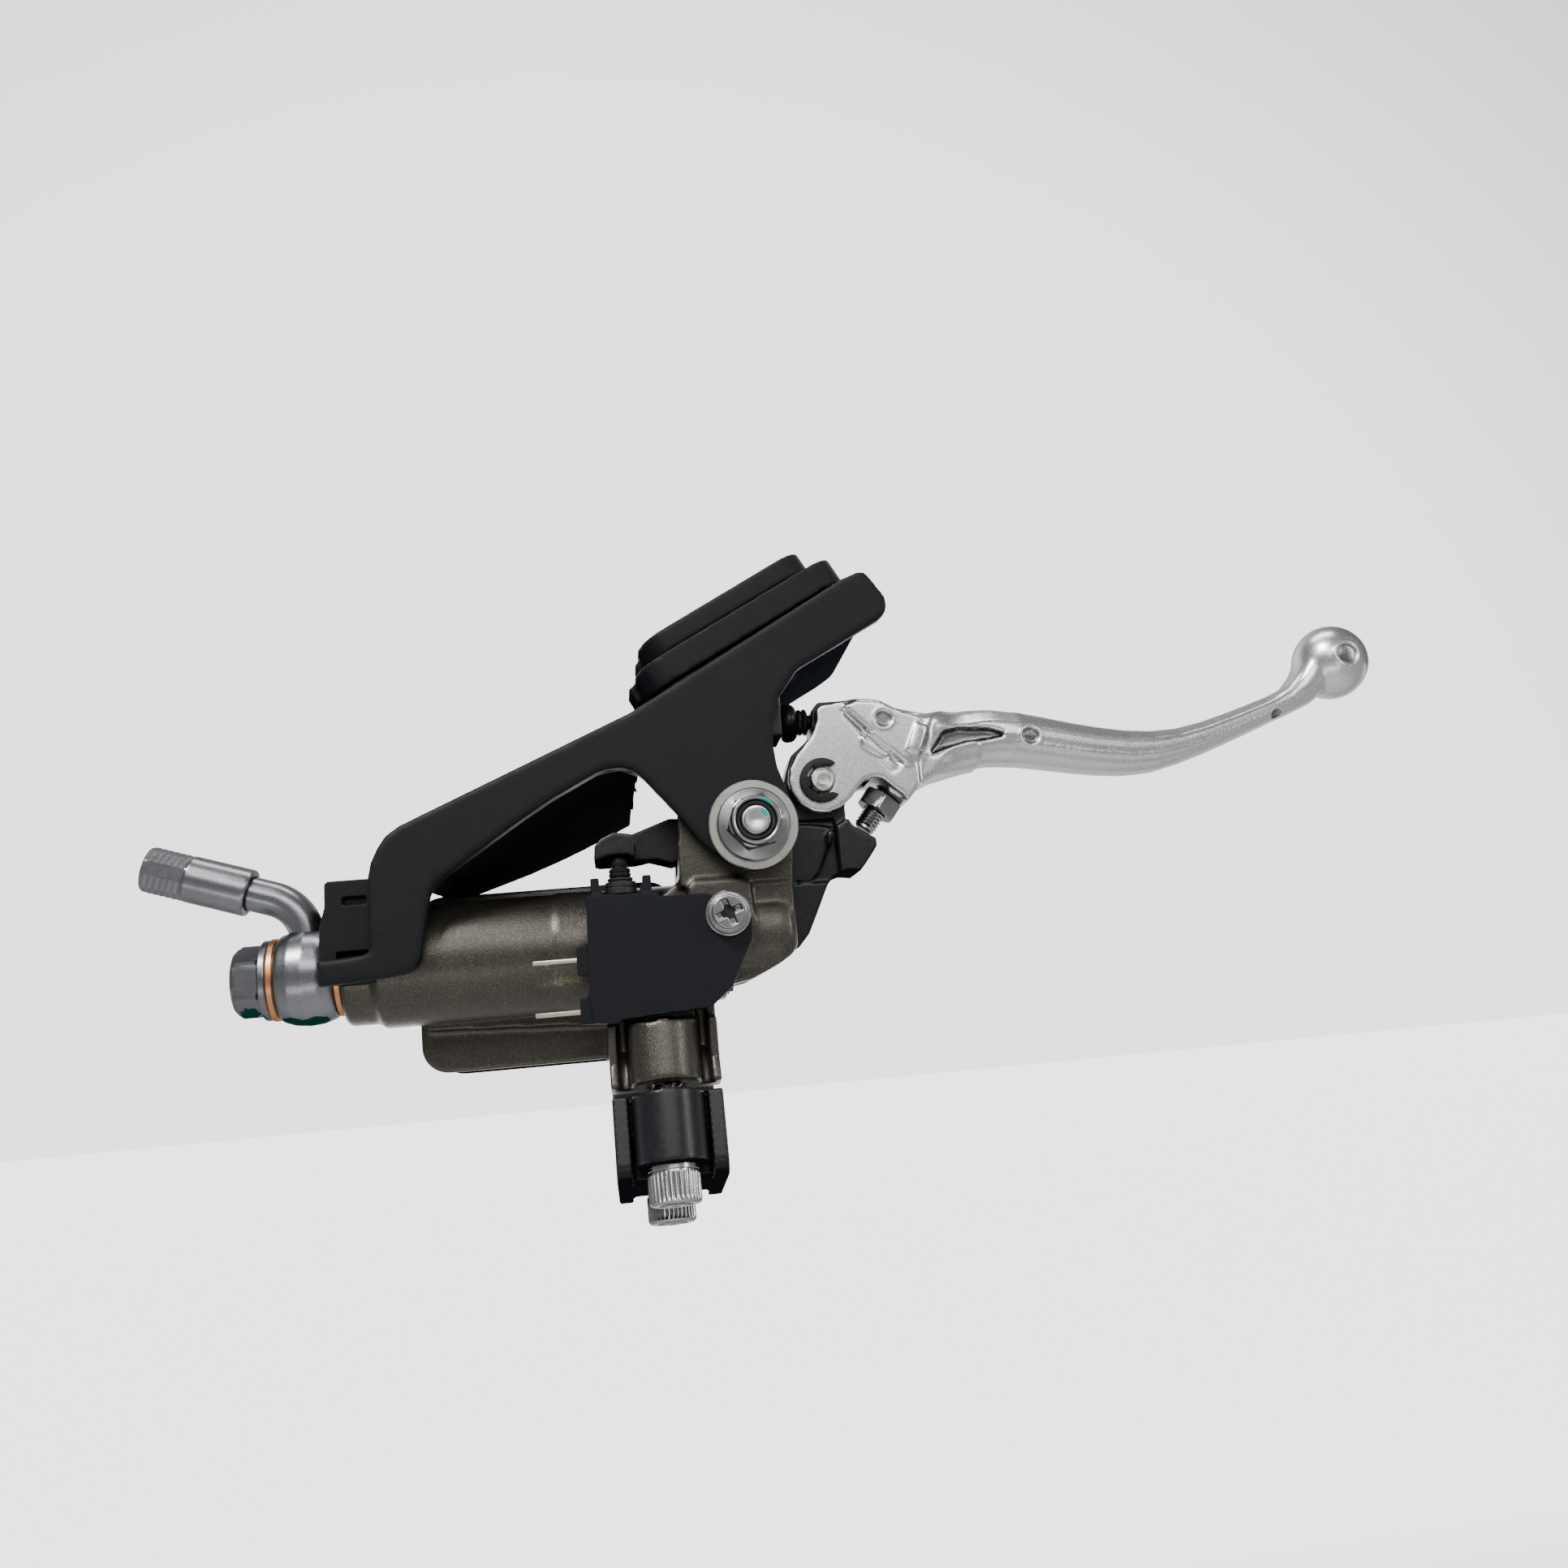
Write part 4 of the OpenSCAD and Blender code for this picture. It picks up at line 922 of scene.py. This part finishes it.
def crimp_sleeve():
    """The hose's sleeve: a plain collar and ten crimped flats."""
    def crimp(r, h, a):
        if r < 4.55 or h < 12.0:
            return r
        share = float(step_up(h, 12.2, 12.9))
        side = math.degrees(a) % 36 - 18
        flat = 4.42 / math.cos(math.radians(side))
        dent = 0.05 * math.sin(h * 5.1 + a * 3)
        return r * (1 - share) + min(r, flat + dent) * share

    body = [(4.75 - 0.001 * k, 12 + 0.25 * k) for k in range(34)]
    sleeve = turned("crimp_sleeve_look", [
        (3.55, 0.15), (3.7, 0), (4.3, 0), (4.62, 0.14), (4.78, 0.45), (4.8, 0.9), (4.77, 6)] + body +
        [(4.6, 20.8), (4.4, 21), (4.0, 21), (3.9, 20.85), (3.9, 4.2), (3.55, 4.1)], IN_SLEEVE, 120, crimp)
    stand_for(sleeve, "housing", "hose_steel", "crimp_sleeve")


def switch_parts():
    place = at(*PLUNGER, 0)
    boot = turned("switch_boot_look", [
        (1.68, 41.55), (3.1, 41.55), (3.1, 42.6), (2.95, 42.8), (3.1, 43.0), (3.1, 43.7), (2.9, 43.9),
        (2.5, 43.95), (2.3, 44.1), (2.5, 44.3), (2.5, 44.6), (2.3, 44.75), (1.68, 44.75)], place, 56)
    stand_for(boot, "housing", "rubber", "switch_boot")
    plunger = turned("switch_plunger_look", [
        (0, 36.4), (1.6, 36.4), (1.6, 44.9), (2.0, 44.95), (2.15, 45.1), (2.15, 45.6), (1.95, 45.8),
        (2.1, 46.0), (2.1, 46.4), (1.9, 46.6), (1.5, 46.75), (1.4, 46.95), (1.6, 47.3), (1.6, 47.8),
        (1.45, 48.4), (1.1, 48.85), (0.6, 49.05), (0, 49.1)], place, 56)
    stand_for(plunger, "switch_plunger", "switch_plastic", "switch_plunger")
    rings("switch_screw_washer_look", "switch_screw_washer", "housing", "stainless",
          [(at(SWITCH_SCREW[0], 0, SWITCH_SCREW[1]) @ TOWARDS, 2.1, 4.5, 18.0, 18.9, 0.25)])


def lever_hardware():
    """The lever's pin, the adjuster screw and its nut, the stop screw and its sleeve."""
    place = at(PIN[0], 0, PIN[1]) @ TOWARDS
    pin = turned("lever_pin_look", [
        (0, -9.6), (3.6, -9.6), (3.9, -9.4), (4.0, -9.1), (4.0, -8.05), (2.5, -8.0), (2.5, 8.2), (2.1, 8.25),
        (2.1, 9.05), (2.5, 9.1), (2.5, 9.7), (2.3, 9.95), (2.15, 10.0), (2.0, 9.94), (1.85, 10.0),
        (1.7, 9.94), (1.5, 9.98), (1.35, 9.92), (1.15, 9.97), (1.0, 9.92), (0.7, 9.97), (0.5, 9.92),
        (0.3, 9.94), (0.2, 9.8), (0, 9.8)], place, 72)
    stand_for(pin, "lever", "zinc", "lever_pin")
    nut = turned("adjuster_nut_look", [
        (2.5, -1.9), (2.7, -2.0), (3.9, -2.0), (4.3, -1.8), (4.62, -1.5), (4.62, 1.5), (4.3, 1.8),
        (3.9, 1.9), (2.5, 1.9)], IN_ADJUSTER, 96, hexagon(8.0, 30.0))
    stand_for(nut, "lever", "nut_steel", "adjuster_nut", slot=SLOT_OF["adjuster_nut"])
    screw = threaded("adjuster_screw_look", [(0, -6.6), (1.7, -6.6), (2.1, -6.3), (2.45, -5.8), (2.45, 8.6),
                                             (2.1, 9.0), (0, 9.0)], IN_ADJUSTER, 0.8, 0.42, -5.8, 8.6)
    stand_for(screw, "adjuster", "stainless", "adjuster_screw", slot=SLOT_OF["adjuster_screw"])
    place = at(0, 0, STOP_Z) @ ALONG
    stop = turned("stop_screw_look", [
        (0, 30.4), (2.6, 30.4), (3.2, 30.5), (3.8, 30.8), (4.1, 31.3), (4.15, 31.8), (4.1, 32.6), (3.8, 33.2),
        (3.2, 33.7), (1.5, 33.8), (1.5, 44), (0, 44)], place, 64)
    stand_for(stop, "carrier", "black_paint", "stop_screw", slot=SLOT_OF["stop_screw"])
    sleeve = turned("stop_sleeve_look", [
        (1.55, 33.9), (2.3, 33.9), (2.75, 34.15), (2.85, 34.5), (2.7, 34.85), (2.35, 35.05), (2.75, 35.25),
        (2.9, 35.6), (2.75, 35.95), (2.35, 36.15), (1.55, 36.2)], place, 56)
    stand_for(sleeve, "carrier", "rubber", "stop_sleeve")


TRIMMED = {  # node: (body, bevel)
    "switch_terminals": ("housing", 0.1), "e_clip": ("lever", 0.12), "lid_screws": ("housing", 0.15),
}


def trimmed_pieces():
    for node, (body, width) in TRIMMED.items():
        stand_for(bevelled(copy_of(node), width), body, SLOT_OF[node], node)


cast_pieces()
body_casting()
lever_casting()
clamp_bolts()
rings("clamp_washers_look", "clamp_washers", "housing", "stainless",
      [(IN_CLAMP @ at(0, s * BOLT_SPACING / 2, 0), 3.1, 4.85, -15.8, -14.7, 0.15) for s in (-1, 1)])
pivot_stack()
banjo()
hose_pipe()
crimp_sleeve()
switch_parts()
lever_hardware()
trimmed_pieces()
